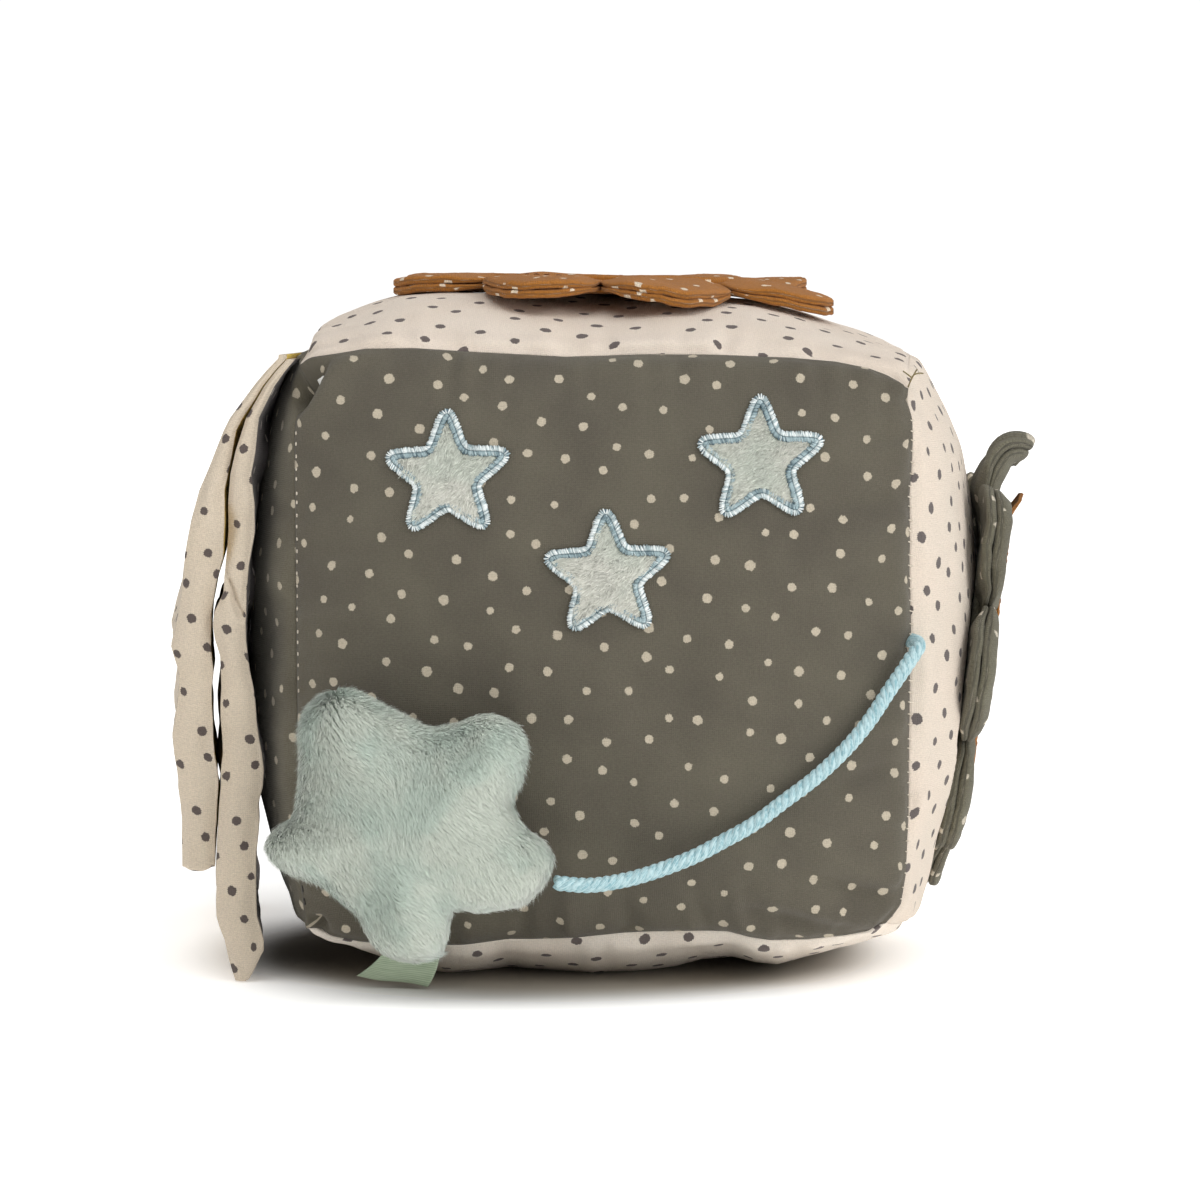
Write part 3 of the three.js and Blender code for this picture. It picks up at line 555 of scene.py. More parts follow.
# where the seams round the front run, mm: the upper and lower ones as z at x, the side ones as x at z
SEAM_TOP = np.array([[-60.7, 123.5], [-57.9, 124.6], [-53.0, 125.6], [-48.6, 126.5], [-39.1, 126.7], [-26.5, 126.0], [-7.6, 125.1], [9.1, 125.6],
                     [23.2, 125.5], [38.3, 124.9], [47.3, 124.1], [53.4, 122.8], [56.7, 121.4], [59.2, 119.8], [60.2, 118.8]])
SEAM_BOTTOM = np.array([[-59.4, 10.4], [-55.0, 8.9], [-49.7, 8.0], [-40.5, 7.5], [-29.7, 7.7], [-27.2, 8.0], [-20.6, 9.0], [-15.6, 9.0], [-7.3, 9.3], [2.6, 10.4],
                        [8.4, 10.7], [19.1, 10.9], [23.2, 10.8], [27.4, 9.7], [31.3, 9.1], [38.8, 9.2], [47.1, 9.9], [52.1, 10.5], [56.2, 12.3]])
SEAM_RIGHT = np.array([[12.3, 56.2], [16.4, 59.1], [22.4, 60.1], [34.7, 60.6], [57.0, 60.7], [69.6, 61.0], [83.4, 60.6], [93.8, 60.6], [97.9, 60.5],
                       [101.9, 60.8], [106.0, 61.0], [109.9, 61.1], [113.8, 61.0], [117.3, 60.3], [118.8, 60.2]])
SEAM_LEFT = np.array([[10.4, -59.4], [20.9, -60.5], [64.7, -60.8], [96.3, -61.0], [108.1, -61.2], [118.0, -61.0], [123.5, -60.7]])
UNDER = np.array([[-61, 0.0], [-52, -0.4], [-47, -1.0], [-33, -2.0], [-28, -1.2], [-20, 0.5], [-14, 0.2], [-3, -0.9], [5.5, -0.2], [14, 1.0], [19, 2.2],
                  [25.5, 2.3], [30, 0.8], [34.6, -0.2], [40, 0.5], [47, 1.0], [54, 0.6], [61, 0.0]])


def skin(face, s, t):
    """a point of the stuffed cube's skin before its wrinkles, mm; s to the right and t up, seen from outside"""
    one = np.ones_like(s)
    a, b, c = {"front": (s, -one, t), "back": (-s, one, t), "left": (-one, -s, t), "right": (one, s, t),
               "top": (s, t, one), "bottom": (s, -t, -one)}[face]
    x, y, z = a * HX * pull(b, c), b * HY * pull(a, c), c * HZ * pull(a, b)
    if face in ("left", "right"):
        x = x + np.sign(a) * BULGE_SIDE * swell(b) * np.where((c > 0) & (a > 0), np.maximum(0.0, 1 - np.abs(c) ** 2.7) ** 0.85, swell(c) * np.where(a > 0, 1 - 0.45 * smooth((-c - 0.35) / 0.4), 1.0))
    elif face in ("front", "back"):
        y = y + np.sign(b) * BULGE_FRONT * swell(a) * swell(c)
    elif face == "top":
        left = np.maximum(0.0, 1 - np.abs(a) ** 5) ** 0.68
        z = z + BULGE_TOP * np.where(a < 0, left * (1 - 0.18 * a), np.interp(a, CROWN_A, CROWN_H)) * np.maximum(0.0, 1 - np.abs(b) ** 2.5) ** 0.9
    else:
        z = z - BULGE_BOTTOM * swell(a) * swell(b)
        f = np.clip(-b, 0, 1)
        z = z + np.interp(a * HX, UNDER[:, 0], UNDER[:, 1]) * smooth((f - 0.1) / 0.35) * (1 - smooth((f - 0.86) / 0.14))
    near, up, down, lf, rt = (np.clip(q, 0, 1) ** 7 for q in (-b, c, -c, -a, a))
    ea, ec = 1 - 0.05 * a ** 4, 1 - 0.05 * c ** 4
    zu, zd = np.interp(a, SEAM_TOP[:, 0] / 60.45, SEAM_TOP[:, 1]), np.interp(a, (SEAM_BOTTOM[:, 0] + 1.6) / 57.8, SEAM_BOTTOM[:, 1])
    z = z + ZC + near * up * (zu - ZC - HZ * ea) + near * down * (zd - ZC + HZ * ea)
    zz = ZC + c * HZ * 0.95
    xr, xl = np.interp(zz, SEAM_RIGHT[:, 0], SEAM_RIGHT[:, 1]), np.interp(zz, SEAM_LEFT[:, 0], SEAM_LEFT[:, 1])
    x = x + near * rt * (xr - HX * ec) + near * lf * (xl + HX * ec)
    rim = 1 - np.abs(b) ** 5
    z = z + up * rim * (1.5 * lf - 0.7 * rt)
    return np.stack([x, y, np.maximum(z, 0.0)], -1)


PITS = [((-61.2, -60.0, 118.6), 3.1, 8.5), ((-57.4, -59.8, 11.3), 1.7, 4.0), ((60.4, -60.0, 116.9), 1.1, 1.6), ((60.6, -61.4, 67.4), 1.6, 1.2)]
FOLDS = [((-60.0, -60, 117.2), (-55.0, -61, 122.8), 1.5, -2.6), ((-58.5, -61, 112.5), (-49.5, -64, 121.5), 2.6, 1.0), ((-54.0, -62, 118.0), (-44.0, -65, 123.5), 2.0, -0.7),
         ((57.0, -61, 22.0), (38.0, -68, 31.0), 2.0, 0.9), ((57.0, -61, 17.0), (36.0, -67, 25.5), 1.8, -1.2), ((53.0, -61, 13.0), (31.0, -66, 20.5), 1.7, 1.0),
         ((46.0, -61, 12.0), (27.0, -66, 17.0), 1.5, -0.8),
         ((59.8, -61, 98.5), (42.0, -68, 95.5), 1.9, -1.0), ((59.8, -61, 93.5), (45.0, -68, 91.0), 1.8, 0.8), ((59.8, -61, 83.0), (41.0, -69, 80.0), 1.9, -0.9),
         ((59.8, -61, 110.0), (47.0, -66, 107.0), 1.8, -0.6), ((59.8, -61, 77.5), (45.0, -69, 76.0), 1.9, 0.6),
         ((59.5, -61, 46.0), (45.0, -69, 41.0), 1.9, -0.7), ((21.0, -61, 11.5), (17.0, -66, 24.0), 1.9, -1.0), ((27.5, -61, 10.5), (25.0, -66, 22.0), 1.8, 0.9),
         ((6.0, -61, 11.0), (4.0, -66, 21.0), 1.8, -0.9), ((-6.0, -61, 10.0), (-7.0, -66, 20.0), 1.7, 0.7), ((-16.0, -61, 9.5), (-15.0, -66, 19.0), 1.8, -0.8),
         ((-60.0, -61, 88.0), (-46.0, -69, 86.0), 2.0, -0.6), ((-60.0, -61, 74.0), (-50.0, -69, 73.0), 2.0, 0.5), ((-8.0, -61, 124.5), (-9.0, -66, 114.0), 2.0, -0.5),
         ((24.0, -61, 125.0), (25.0, -66, 113.0), 2.0, -0.5)]


def relief(face, s, t, P):
    """how far the wrinkled skin stands off the smooth one, mm, along the line from the cube's centre"""
    seed = {"front": 1, "back": 2, "left": 3, "right": 4, "top": 5, "bottom": 6}[face]
    ds, dt = (1 - np.abs(s)) * HX, (1 - np.abs(t)) * HZ
    near = np.minimum(ds, dt)
    u, v = s * HX, t * HZ
    soft = {"front": s < 0, "left": s > 0, "top": s > 0}.get(face, np.zeros_like(s, bool)) & (ds < dt)
    soft = soft | ((t > 0) & (dt < ds) & (face == "right"))
    d = np.where(soft, -0.35, -0.8) * np.exp(-((near / 1.3) ** 2))
    d = d + np.where(soft, 0.0, 0.3) * np.exp(-(((near - 3.2) / 1.9) ** 2))
    for dist, along, k in ((ds, v, 11), (dt, u, 23)):
        side = np.where((u if dist is ds else v) > 0, 1, 0)
        ripple = noise(along / 6.5, side * 3.7, seed=seed * 7 + k) + 0.6 * noise(along / 3.1, side * 5.1, seed=seed * 5 + k)
        d = d + 1.0 * ripple * np.exp(-dist / 7.0) * (1 - np.exp(-((dist / 1.3) ** 2)))
    inner = 1 - np.exp(-((near / 7.0) ** 2))
    wave = 0.9 * noise(u / 30, v / 30, seed=seed) + 0.5 * noise(u / 13, v / 13, seed=seed + 40) + 0.16 * noise(u / 5.5, v / 5.5, seed=seed + 60)
    d = d + wave * inner * (0.3 if face == "bottom" else 1.0)
    for c, size, depth in PITS:
        d = d - depth * np.exp(-((P - np.array(c)) ** 2).sum(-1) / (size * size))
    for a, b, size, height in FOLDS:
        a, b = np.array(a, float), np.array(b, float)
        f = np.clip(((P - a) @ (b - a)) / ((b - a) @ (b - a)), 0, 1)
        q = np.linalg.norm((P - (a + f[..., None] * (b - a)))[..., [0, 2]], axis=-1) + np.maximum(0, P[..., 1] + 50)
        fade = np.sin(math.pi * (0.12 + 0.76 * f)) * np.clip(near / 1.5, 0, 1)
        d = d + 1.35 * height * np.exp(-((q / size) ** 2)) * fade
    return d


def skin_out(face, s, t, lift=0.0):
    P = skin(face, s, t)
    r = unit(P - np.array([0, 0, ZC]))
    Q = P + (relief(face, s, t, P) + lift)[..., None] * r
    Q[..., 2] = np.maximum(Q[..., 2], 0.0 if lift >= 0 else -lift)
    if face == "top":               # the crown is pressed flat by the petal shape sewn on it
        high = top_plane(Q[..., 0], Q[..., 1]) - 1.8 + lift + np.maximum(0, np.hypot(Q[..., 0], Q[..., 1]) - 40) * 1.0
        over = Q[..., 2] - high
        Q[..., 2] = Q[..., 2] - 0.5 * (over + np.sqrt(over * over + 0.05))
    if face == "right":             # and so is the right side by the one sewn there
        u, v = (Q[..., 0] - SF[0]) * SX[0] + (Q[..., 2] - SF[2]) * SX[2], -Q[..., 1]
        high = SF[0] + (SIDE_WARP(u, v, None) - 3.65 + lift - (Q[..., 2] - SF[2]) * SZ[2]) / SZ[0] + np.maximum(0, np.hypot(u, v) - 46) * 1.2
        over = Q[..., 0] - high
        Q[..., 0] = Q[..., 0] - 0.5 * (over + np.sqrt(over * over + 0.08))
    return Q


N = 181
k = np.linspace(-1, 1, N)
k = np.sign(k) * (1 - (1 - np.abs(k)) ** 1.12)      # a little closer together near the seams
S, T = np.meshgrid(k, k, indexing="ij")
PANELS = {"front": M_OLIVE, "back": M_OLIVE_BACK, "left": M_OLIVE_SIDE, "right": M_CREAM_SIDE, "top": M_CREAM, "bottom": M_CREAM_LOW}
for face, mat in PANELS.items():
    out = skin_out(face, S, T)
    inn = skin_out(face, S * 0.999, T * 0.999, -1.0)
    ob = shell(f"{face}_panel_cloth", out, inn, flat_lengths(out), mat)
    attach(ob, "cube")
    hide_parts(f"{face}_panel")


def skin_along(d, inset):
    """the skin in a direction from the cube's centre, drawn in by inset mm"""
    d = np.asarray(d, float)
    m = np.abs(d).max(-1, keepdims=True)
    q = d / m
    P = np.zeros_like(q)
    faces = {"front": (1, -1), "back": (1, 1), "left": (0, -1), "right": (0, 1), "top": (2, 1), "bottom": (2, -1)}
    done = np.zeros(q.shape[:-1], bool)
    for face, (ax, sg) in faces.items():
        on = (q[..., ax] * sg > 0.999999) & ~done
        a, b, c = q[on, 0], q[on, 1], q[on, 2]
        s, t = {"front": (a, c), "back": (-a, c), "left": (-b, c), "right": (b, c), "top": (a, b), "bottom": (a, -b)}[face]
        P[on] = skin_out(face, np.clip(s, -0.985, 0.985), np.clip(t, -0.985, 0.985))
        done |= on
    return P - inset[..., None] * unit(P - np.array([0, 0, ZC]))


for name, sign in (("lower", -1), ("upper", 1)):
    th, ph = np.meshgrid(np.linspace(0.001, math.pi / 2 - 0.006, 40), np.linspace(0, 2 * math.pi, 97)[:-1], indexing="ij")
    d = np.stack([np.sin(th) * np.cos(ph), np.sin(th) * np.sin(ph), sign * np.cos(th)], -1)
    inset = 2.0 + 0.5 * noise(d[..., 0] * 9, d[..., 1] * 9, d[..., 2] * 9, seed=5) ** 2
    out = skin_along(d, inset)
    ball = np.array([0, 0, ZC]) + d * 21.0
    if sign > 0:
        ball[..., 2] = np.maximum(ball[..., 2], ZC + 0.15)
        out[..., 2] = np.maximum(out[..., 2], ZC + 0.15)
    else:
        ball[..., 2] = np.minimum(ball[..., 2], ZC - 0.15)
        out[..., 2] = np.minimum(out[..., 2], ZC - 0.15)
    nt, npn = th.shape
    V = np.concatenate([out.reshape(-1, 3), ball.reshape(-1, 3)])
    i, j = np.meshgrid(np.arange(nt - 1), np.arange(npn), indexing="ij")
    i, j = i.ravel(), j.ravel()
    jj = (j + 1) % npn
    F = np.stack([i * npn + j, (i + 1) * npn + j, (i + 1) * npn + jj, i * npn + jj], 1)
    j = np.arange(npn)
    jj = (j + 1) % npn
    e, o = (nt - 1) * npn, nt * npn
    rim = np.stack([e + j, o + e + j, o + e + jj, e + jj], 1)
    caps = np.concatenate([np.arange(npn)[None], (o + np.arange(npn))[None, ::-1]])
    if sign < 0:
        F, rim, caps = F[:, ::-1], rim[:, ::-1], caps[:, ::-1]
    F2 = (F + o)[:, ::-1]
    ob = build(f"fibre_filling_{name}", V, [F, F2, rim, caps], np.zeros((len(V), 2)), M_FIBRE)
    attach(ob, "cube")
    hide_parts(f"filling_{name}")


# ---------------------------------------------------------------- stitches at the seams
def face_point(face, s, t, lift):
    s, t = np.atleast_1d(np.asarray(s, float)), np.atleast_1d(np.asarray(t, float))
    return skin_out(face, s, t, lift)


pile, dark = Pile(), Pile()
rs = np.random.default_rng(8)
for z in np.arange(15.0, 114.0, 2.42):             # the thread that shows in the seam between front and left
    if 23.0 < z < 58.0:
        continue
    z = z + 0.15 * rs.standard_normal()
    half = 0.62 if z < 58 else 0.26 + 0.08 * rs.random()
    tt = (np.linspace(z - half, z + half, 5) - ZC) / HZ
    p = face_point("front", np.full(5, -0.994), tt, 0.02)
    p[:, 1] -= np.array([-0.10, 0.05, 0.10, 0.05, -0.10])
    (pile if z > 58.0 else dark).tube(p, 0.17 if z > 58 else 0.2, 6, tag=z)
for z in np.arange(15.0, 116.0, 2.4):              # small bites of the seam's thread along the right edge of the front
    z = z + 0.2 * rs.standard_normal()
    t0 = (z - ZC) / HZ
    p = face_point("right", np.array([-0.994, -0.999]), np.array([t0, t0]), 0.05)
    q = face_point("front", np.array([0.999, 0.994]), np.array([t0 + 0.002, t0 + 0.004]), 0.05)
    pile.tube(np.concatenate([p, q]), 0.13 + 0.02 * rs.random(), 6, tag=z)
ob = pile.make("seam_stitches_light", M_TACK)
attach(ob, "cube")
ob = dark.make("seam_stitches_dark", M_DARK_THREAD)
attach(ob, "cube")
knot = Pile()                                      # the thread ends at the corner where front, top and right meet
for pts in (((59.6, 118.6), (60.2, 120.4), (61.4, 122.2)), ((58.6, 121.8), (59.9, 120.9), (60.4, 120.4)), ((60.4, 120.7), (61.2, 121.6), (62.6, 121.3))):
    f = np.linspace(0, 1, 9)[:, None]
    a_, b_, c_ = (np.array(v, float) for v in pts)
    xz = (1 - f) ** 2 * a_ + 2 * f * (1 - f) * b_ + f ** 2 * c_
    knot.tube(np.stack([xz[:, 0], np.full(9, -59.6) + 0.5 * np.maximum(0, xz[:, 0] - 60.5), xz[:, 1]], 1), 0.15, 6, tag=pts[0][0])


# ---------------------------------------------------------------- applique stars
APPLIQUES = [[-29.8, 101.8, 1.8, 235.0], [1.5, 82.6, 2.2, 215.0], [31.0, 104.6, 1.3, 205.0]]


def front_point(x, z, lift=0.0):
    """the cloth's outer surface on the front at x, z"""
    x, z = np.asarray(x, float), np.asarray(z, float)
    s, t = x / HX, (z - ZC) / HZ
    for _ in range(4):
        P = skin_out("front", s, t)
        s, t = s + (x - P[..., 0]) / HX, t + (z - P[..., 2]) / HZ
    P = skin_out("front", s, t)
    P[..., 1] -= lift
    return P


def star_path(tip, valley, n, soft=0.0):
    """n points round a five-pointed star with rounded points"""
    a = np.pi / 2 + np.arange(10) * np.pi / 5
    r = np.where(np.arange(10) % 2 == 0, tip, valley)
    C = np.stack([r * np.cos(a), r * np.sin(a)], 1)
    seg = np.linspace(0, 10, 2000, endpoint=False)
    i = seg.astype(int)
    f = (seg - i)[:, None]
    P = C[i] * (1 - f) + C[(i + 1) % 10] * f
    w = max(1, int(soft / (np.linalg.norm(np.roll(P, -1, 0) - P, axis=1).mean())))
    ker = np.hanning(2 * w + 3)[1:-1]
    ker /= ker.sum()
    P = np.stack([np.convolve(np.concatenate([P[-w:, d], P[:, d], P[:w, d]]), ker, "valid") for d in (0, 1)], 1)
    R, A = np.hypot(P[:, 0], P[:, 1]), np.arctan2(P[:, 1], P[:, 0])      # the rounding mustn't shorten the points
    R = valley + (R - R.min()) * (tip - valley) / (R.max() - R.min())
    P = np.stack([R * np.cos(A), R * np.sin(A)], 1)
    L = np.concatenate([[0], np.cumsum(np.linalg.norm(np.roll(P, -1, 0) - P, axis=1))])
    P = np.concatenate([P, P[:1]])
    want = np.linspace(0, L[-1], n, endpoint=False)
    return np.stack([np.interp(want, L, P[:, d]) for d in (0, 1)], 1), L[-1]


def blades(name, P, Nn, D, length, width, lift, mat, seed=1, clump=0.5, clump_mm=1.5):
    """short pile as flat tapering blades: roots P, surface normals Nn, combing directions D, all in mm"""
    rs = np.random.default_rng(seed)
    n = len(P)
    Nn = unit(Nn)
    D = unit(D - Nn * (D * Nn).sum(1, keepdims=True))
    side = unit(np.cross(D, Nn))
    spin = rs.normal(0, 0.5, n)[:, None]
    wide = unit(side * np.cos(spin) + Nn * np.sin(spin))
    L = (length * (1 + 0.25 * rs.standard_normal(n))).clip(0.4 * length, 1.7 * length)[:, None]
    a0 = (lift + 0.28 + 0.16 * rs.standard_normal(n)).clip(0.1, 1.5)[:, None]
    a1 = (lift - 0.18 + 0.16 * rs.standard_normal(n)).clip(0.02, 1.4)[:, None]
    off = np.stack([noise(*(P.T / clump_mm), seed=seed + c) for c in (11, 12, 13)], 1) * clump
    off = off - Nn * (off * Nn).sum(1, keepdims=True) * 0.6
    mid = P + 0.5 * L * (Nn * np.sin(a0) + D * np.cos(a0)) + 0.3 * off * L
    tip = mid + 0.5 * L * (Nn * np.sin(a1) + D * np.cos(a1)) + 0.55 * off * L
    w = (width * (1 + 0.25 * rs.standard_normal(n))).clip(0.4 * width, 2 * width)[:, None] * 0.5
    root = P - 0.15 * Nn
    V = np.stack([root - wide * w, root + wide * w, mid - wide * w * 0.8, mid + wide * w * 0.8, tip], 1).reshape(-1, 3)
    o = np.arange(n)[:, None] * 5
    Q, Tr = o + np.array([[0, 1, 3, 2]]), o + np.array([[2, 3, 4]])
    r = rs.random(n)
    uv = np.stack([np.repeat(r, 5), np.tile([0, 0, 0.5, 0.5, 1.0], n)], 1)
    shade = unit(0.75 * Nn + 0.25 * D + 0.18 * rs.standard_normal((n, 3)))
    return build(name, V, [Q, Tr], uv, mat, normals=np.repeat(shade, 5, 0))


STAR_TIP, STAR_VALLEY = 11.75, 6.15                # middle of the stitched border
for no, (cx, cz, turn, comb) in enumerate(APPLIQUES, 1):
    c, s_ = math.cos(math.radians(turn)), math.sin(math.radians(turn))
    rot = np.array([[c, -s_], [s_, c]])
    n = 330
    mid, around = star_path(STAR_TIP, STAR_VALLEY, n, 3.9)
    tang = unit(np.roll(mid, -1, 0) - np.roll(mid, 1, 0))
    nrm = np.stack([tang[:, 1], -tang[:, 0]], 1)
    rs = np.random.default_rng(100 + no)
    fat = Pile()
    arc = np.linspace(-1, 1, 13)
    half, lean = 1.0 + 0.07 * rs.standard_normal((n, 1, 1)), 0.34 + 0.10 * rs.standard_normal((n, 1, 1))
    xy = mid[:, None] + arc[None, :, None] * half * nrm[:, None] + arc[None, :, None] * lean * tang[:, None]
    xy = xy @ rot.T + (cx, cz)
    P = front_point(xy[..., 0], xy[..., 1])
    P[..., 1] -= 0.3 + 0.58 * np.maximum(0, 1 - (np.abs(np.abs(arc) - 0.5) / 0.52) ** 2.2)[None] ** 0.7 + 0.09 * rs.standard_normal((n, 1))
    for i in range(n):
        fat.tube(P[i], 0.15, 6, tag=i * 0.37 + no, share=True)
    ob = fat.make(f"star_border_{no}_stitches", M_SATIN)
    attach(ob, "cube")
    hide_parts(f"star_border_{no}")
    # a bed under the stitches
    # the bed's dark colour is a painted shade for the gaps between the stitches
    path, _ = star_path(STAR_TIP, STAR_VALLEY, 160, 3.9)
    e = np.linspace(-1, 1, 7)
    t2 = unit(np.roll(path, -1, 0) - np.roll(path, 1, 0))
    n2 = np.stack([t2[:, 1], -t2[:, 0]], 1)
    xy = path[:, None] + e[None, :, None] * 0.98 * n2[:, None]
    xy = xy @ rot.T + (cx, cz)
    top = front_point(xy[..., 0], xy[..., 1])
    low = top.copy()
    top[..., 1] -= 0.15 + 0.4 * (1 - e ** 2)[None]
    low[..., 1] += 0.1
    nu, nv = top.shape[:2]
    V = np.concatenate([top.reshape(-1, 3), low.reshape(-1, 3)])
    o = nu * nv
    i = np.arange(nu)
    ii = (i + 1) % nu
    side = np.concatenate([np.stack([i * nv, i * nv + o, ii * nv + o, ii * nv], 1),
                           np.stack([ii * nv + nv - 1, ii * nv + nv - 1 + o, i * nv + nv - 1 + o, i * nv + nv - 1], 1)])
    F = np.concatenate([grid_faces(nu, nv, 0, wrap=True), grid_faces(nu, nv, o, True, wrap=True), side])
    uv = np.stack(np.broadcast_arrays(np.arange(nu)[:, None] * 0.5, e[None]), 2)
    ob = build(f"star_border_{no}_bed", V, F, np.concatenate([uv.reshape(-1, 2)] * 2), M_SATIN_GAP_SHADE)
    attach(ob, "cube")
    # the plush patch: a thin star of backing, closed, with its pile
    rings = np.linspace(0.0, 1.0, 15)
    edge, _ = star_path(STAR_TIP - 0.6, STAR_VALLEY - 0.4, 120, 3.4)
    xy = (edge[:, None] * rings[None, :, None]) @ rot.T + (cx, cz)
    top = front_point(xy[..., 0], xy[..., 1])
    low = top.copy()
    top[..., 1] -= (0.15 + 0.5 * (1 - rings ** 6))[None]
    low[..., 1] -= 0.05
    nu, nv = top.shape[:2]
    V = np.concatenate([top.reshape(-1, 3), low.reshape(-1, 3)])
    o = nu * nv
    i = np.arange(nu)
    ii = (i + 1) % nu
    side = np.stack([ii * nv + nv - 1, ii * nv + nv - 1 + o, i * nv + nv - 1 + o, i * nv + nv - 1], 1)
    F = np.concatenate([grid_faces(nu, nv, 0, wrap=True), grid_faces(nu, nv, o, True, wrap=True), side])
    ob = build(f"star_patch_{no}_ground", V, F, np.zeros((len(V), 2)), M_GROUND, weld=0.002)
    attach(ob, "cube")
    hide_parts(f"star_patch_{no}")
    m = 16000
    rr, tt = np.sqrt(rs.random(m)), rs.random(m) * 120
    i0 = tt.astype(int)
    f = (tt - i0)[:, None]
    q = (edge[i0 % 120] * (1 - f) + edge[(i0 + 1) % 120] * f) * (rr * 0.93)[:, None]
    q = q @ rot.T + (cx, cz)
    P = front_point(q[:, 0], q[:, 1])
    P[:, 1] -= 0.15 + 0.5 * (1 - (rr * 0.93) ** 6)
    Nn = np.tile([0.0, -1.0, 0.0], (m, 1))
    ang = math.radians(comb) + 0.5 * noise(q[:, 0] / 5, q[:, 1] / 5, seed=no * 3)
    D = np.stack([np.cos(ang), np.zeros(m), np.sin(ang)], 1)
    ob = blades(f"star_patch_{no}_pile", P, Nn, D, 1.25, 0.13, 0.40, M_PATCH, seed=20 + no, clump=0.5, clump_mm=1.3)
    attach(ob, "cube")


# ---------------------------------------------------------------- plush star
STAR_C = np.array([-36.2, -85.0, 34.2])
STAR_RADII = [23.8, 22.1, 21.5, 21.2, 22.0, 24.1, 25.9, 28.0, 29.2, 29.6, 28.9, 28.0, 26.0, 23.6, 22.3, 21.2, 20.8, 21.1, 22.0, 22.9, 24.1, 25.8, 28.2, 30.4,
              31.5, 31.5, 31.1, 29.8, 27.6, 25.7, 24.5, 23.7, 23.2, 22.9, 22.9, 23.7, 26.6, 28.4, 28.2, 26.7, 24.5, 22.3, 20.8, 20.2, 19.9, 19.8, 19.7, 19.8,
              20.4, 21.6, 23.2, 24.6, 25.4, 25.9, 26.2, 26.2, 26.0, 25.2, 22.6, 19.6, 18.8, 19.6, 21.3, 22.6, 24.2, 25.9, 27.2, 28.0, 28.7, 28.9, 28.8, 27.0]


def star_radius(a):
    """distance from the centre to the sewn outline at angle a, radians"""
    R = np.array(STAR_RADII) - 1.35
    q = (np.degrees(a) % 360) / 5
    i = np.floor(q).astype(int)
    f = q - i
    p0, p1, p2, p3 = R[(i - 1) % 72], R[i % 72], R[(i + 1) % 72], R[(i + 2) % 72]
    return 0.5 * (2 * p1 + (p2 - p0) * f + (2 * p0 - 5 * p1 + 4 * p2 - p3) * f ** 2 + (3 * p1 - p0 - 3 * p2 + p3) * f ** 3)


def plush_side(sign, na=180, nr=34, inset=0.0):
    """front (sign -1) or back (+1) of the stuffed star as a grid (angle, ring)"""
    a = np.arange(na) / na * 2 * math.pi
    rho = 1 - (1 - np.linspace(0, 1, nr)) ** 1.6
    R = star_radius(a) - inset
    x = (rho[None] * R[:, None]) * np.cos(a)[:, None]
    z = (rho[None] * R[:, None]) * np.sin(a)[:, None]
    ol = np.stack([R * np.cos(a), R * np.sin(a)], 1)
    d = np.sqrt(((x[..., None] - ol[:, 0]) ** 2 + (z[..., None] - ol[:, 1]) ** 2).min(-1))
    q = np.clip(d / 17.5, 0, 1)
    h = (11.6 - inset) * np.sqrt(1 - (1 - q) ** 2) ** 1.05
    for _ in range(5):                               # takes the ridge out of the distance field
        h2 = h.copy()
        h2[:, 1:-1] = 0.25 * (np.roll(h, 1, 0) + np.roll(h, -1, 0))[:, 1:-1] + 0.25 * (h[:, :-2] + h[:, 2:])
        h2[:, 0] = h[:, 1].mean()
        h = h2
    h[:, -1] = 0
    h = h * (1 + 0.05 * noise(x / 9, z / 9, seed=77 + sign)) * (0.94 if sign > 0 else 1.0)
    return np.stack([x + STAR_C[0], STAR_C[1] + sign * h, z + STAR_C[2]], -1), rho


def star_solid(name, sides, mat, inset=0.0):
    """a closed piece between two grids that share their outer ring"""
    A, B = sides
    nu, nv = A.shape[:2]
    V = np.concatenate([A.reshape(-1, 3), B.reshape(-1, 3)])
    F = np.concatenate([grid_faces(nu, nv, 0, True, wrap=True), grid_faces(nu, nv, nu * nv, False, wrap=True)])
    i = np.arange(nu)
    ii = (i + 1) % nu
    o = nu * nv
    F = np.concatenate([F, np.stack([i * nv + nv - 1, i * nv + nv - 1 + o, ii * nv + nv - 1 + o, ii * nv + nv - 1], 1)])
    return build(name, V, F, np.zeros((len(V), 2)), mat, weld=0.002)


front_side, rho = plush_side(-1)
back_side, _ = plush_side(1)
for name, outer, sign in (("front", front_side, -1), ("back", back_side, 1)):
    inner = outer.copy()
    inner[..., 1] = STAR_C[1] + (outer[..., 1] - STAR_C[1]) * 0.9
    c2 = STAR_C[[0, 2]]
    inner[..., 0] = c2[0] + (outer[..., 0] - c2[0]) * 0.965
    inner[..., 2] = c2[1] + (outer[..., 2] - c2[1]) * 0.965
    A, B = (outer, inner) if sign < 0 else (inner, outer)
    ob = star_solid(f"plush_star_{name}_ground", (A, B), M_GROUND)
    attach(ob, "plush_star")
    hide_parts(f"plush_star_{name}")
a, _ = plush_side(-1, 90, 18, 2.4)
b, _ = plush_side(1, 90, 18, 2.4)
ob = star_solid("plush_star_fibre", (a, b), M_FIBRE)
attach(ob, "plush_star")
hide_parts("plush_star_stuffing")


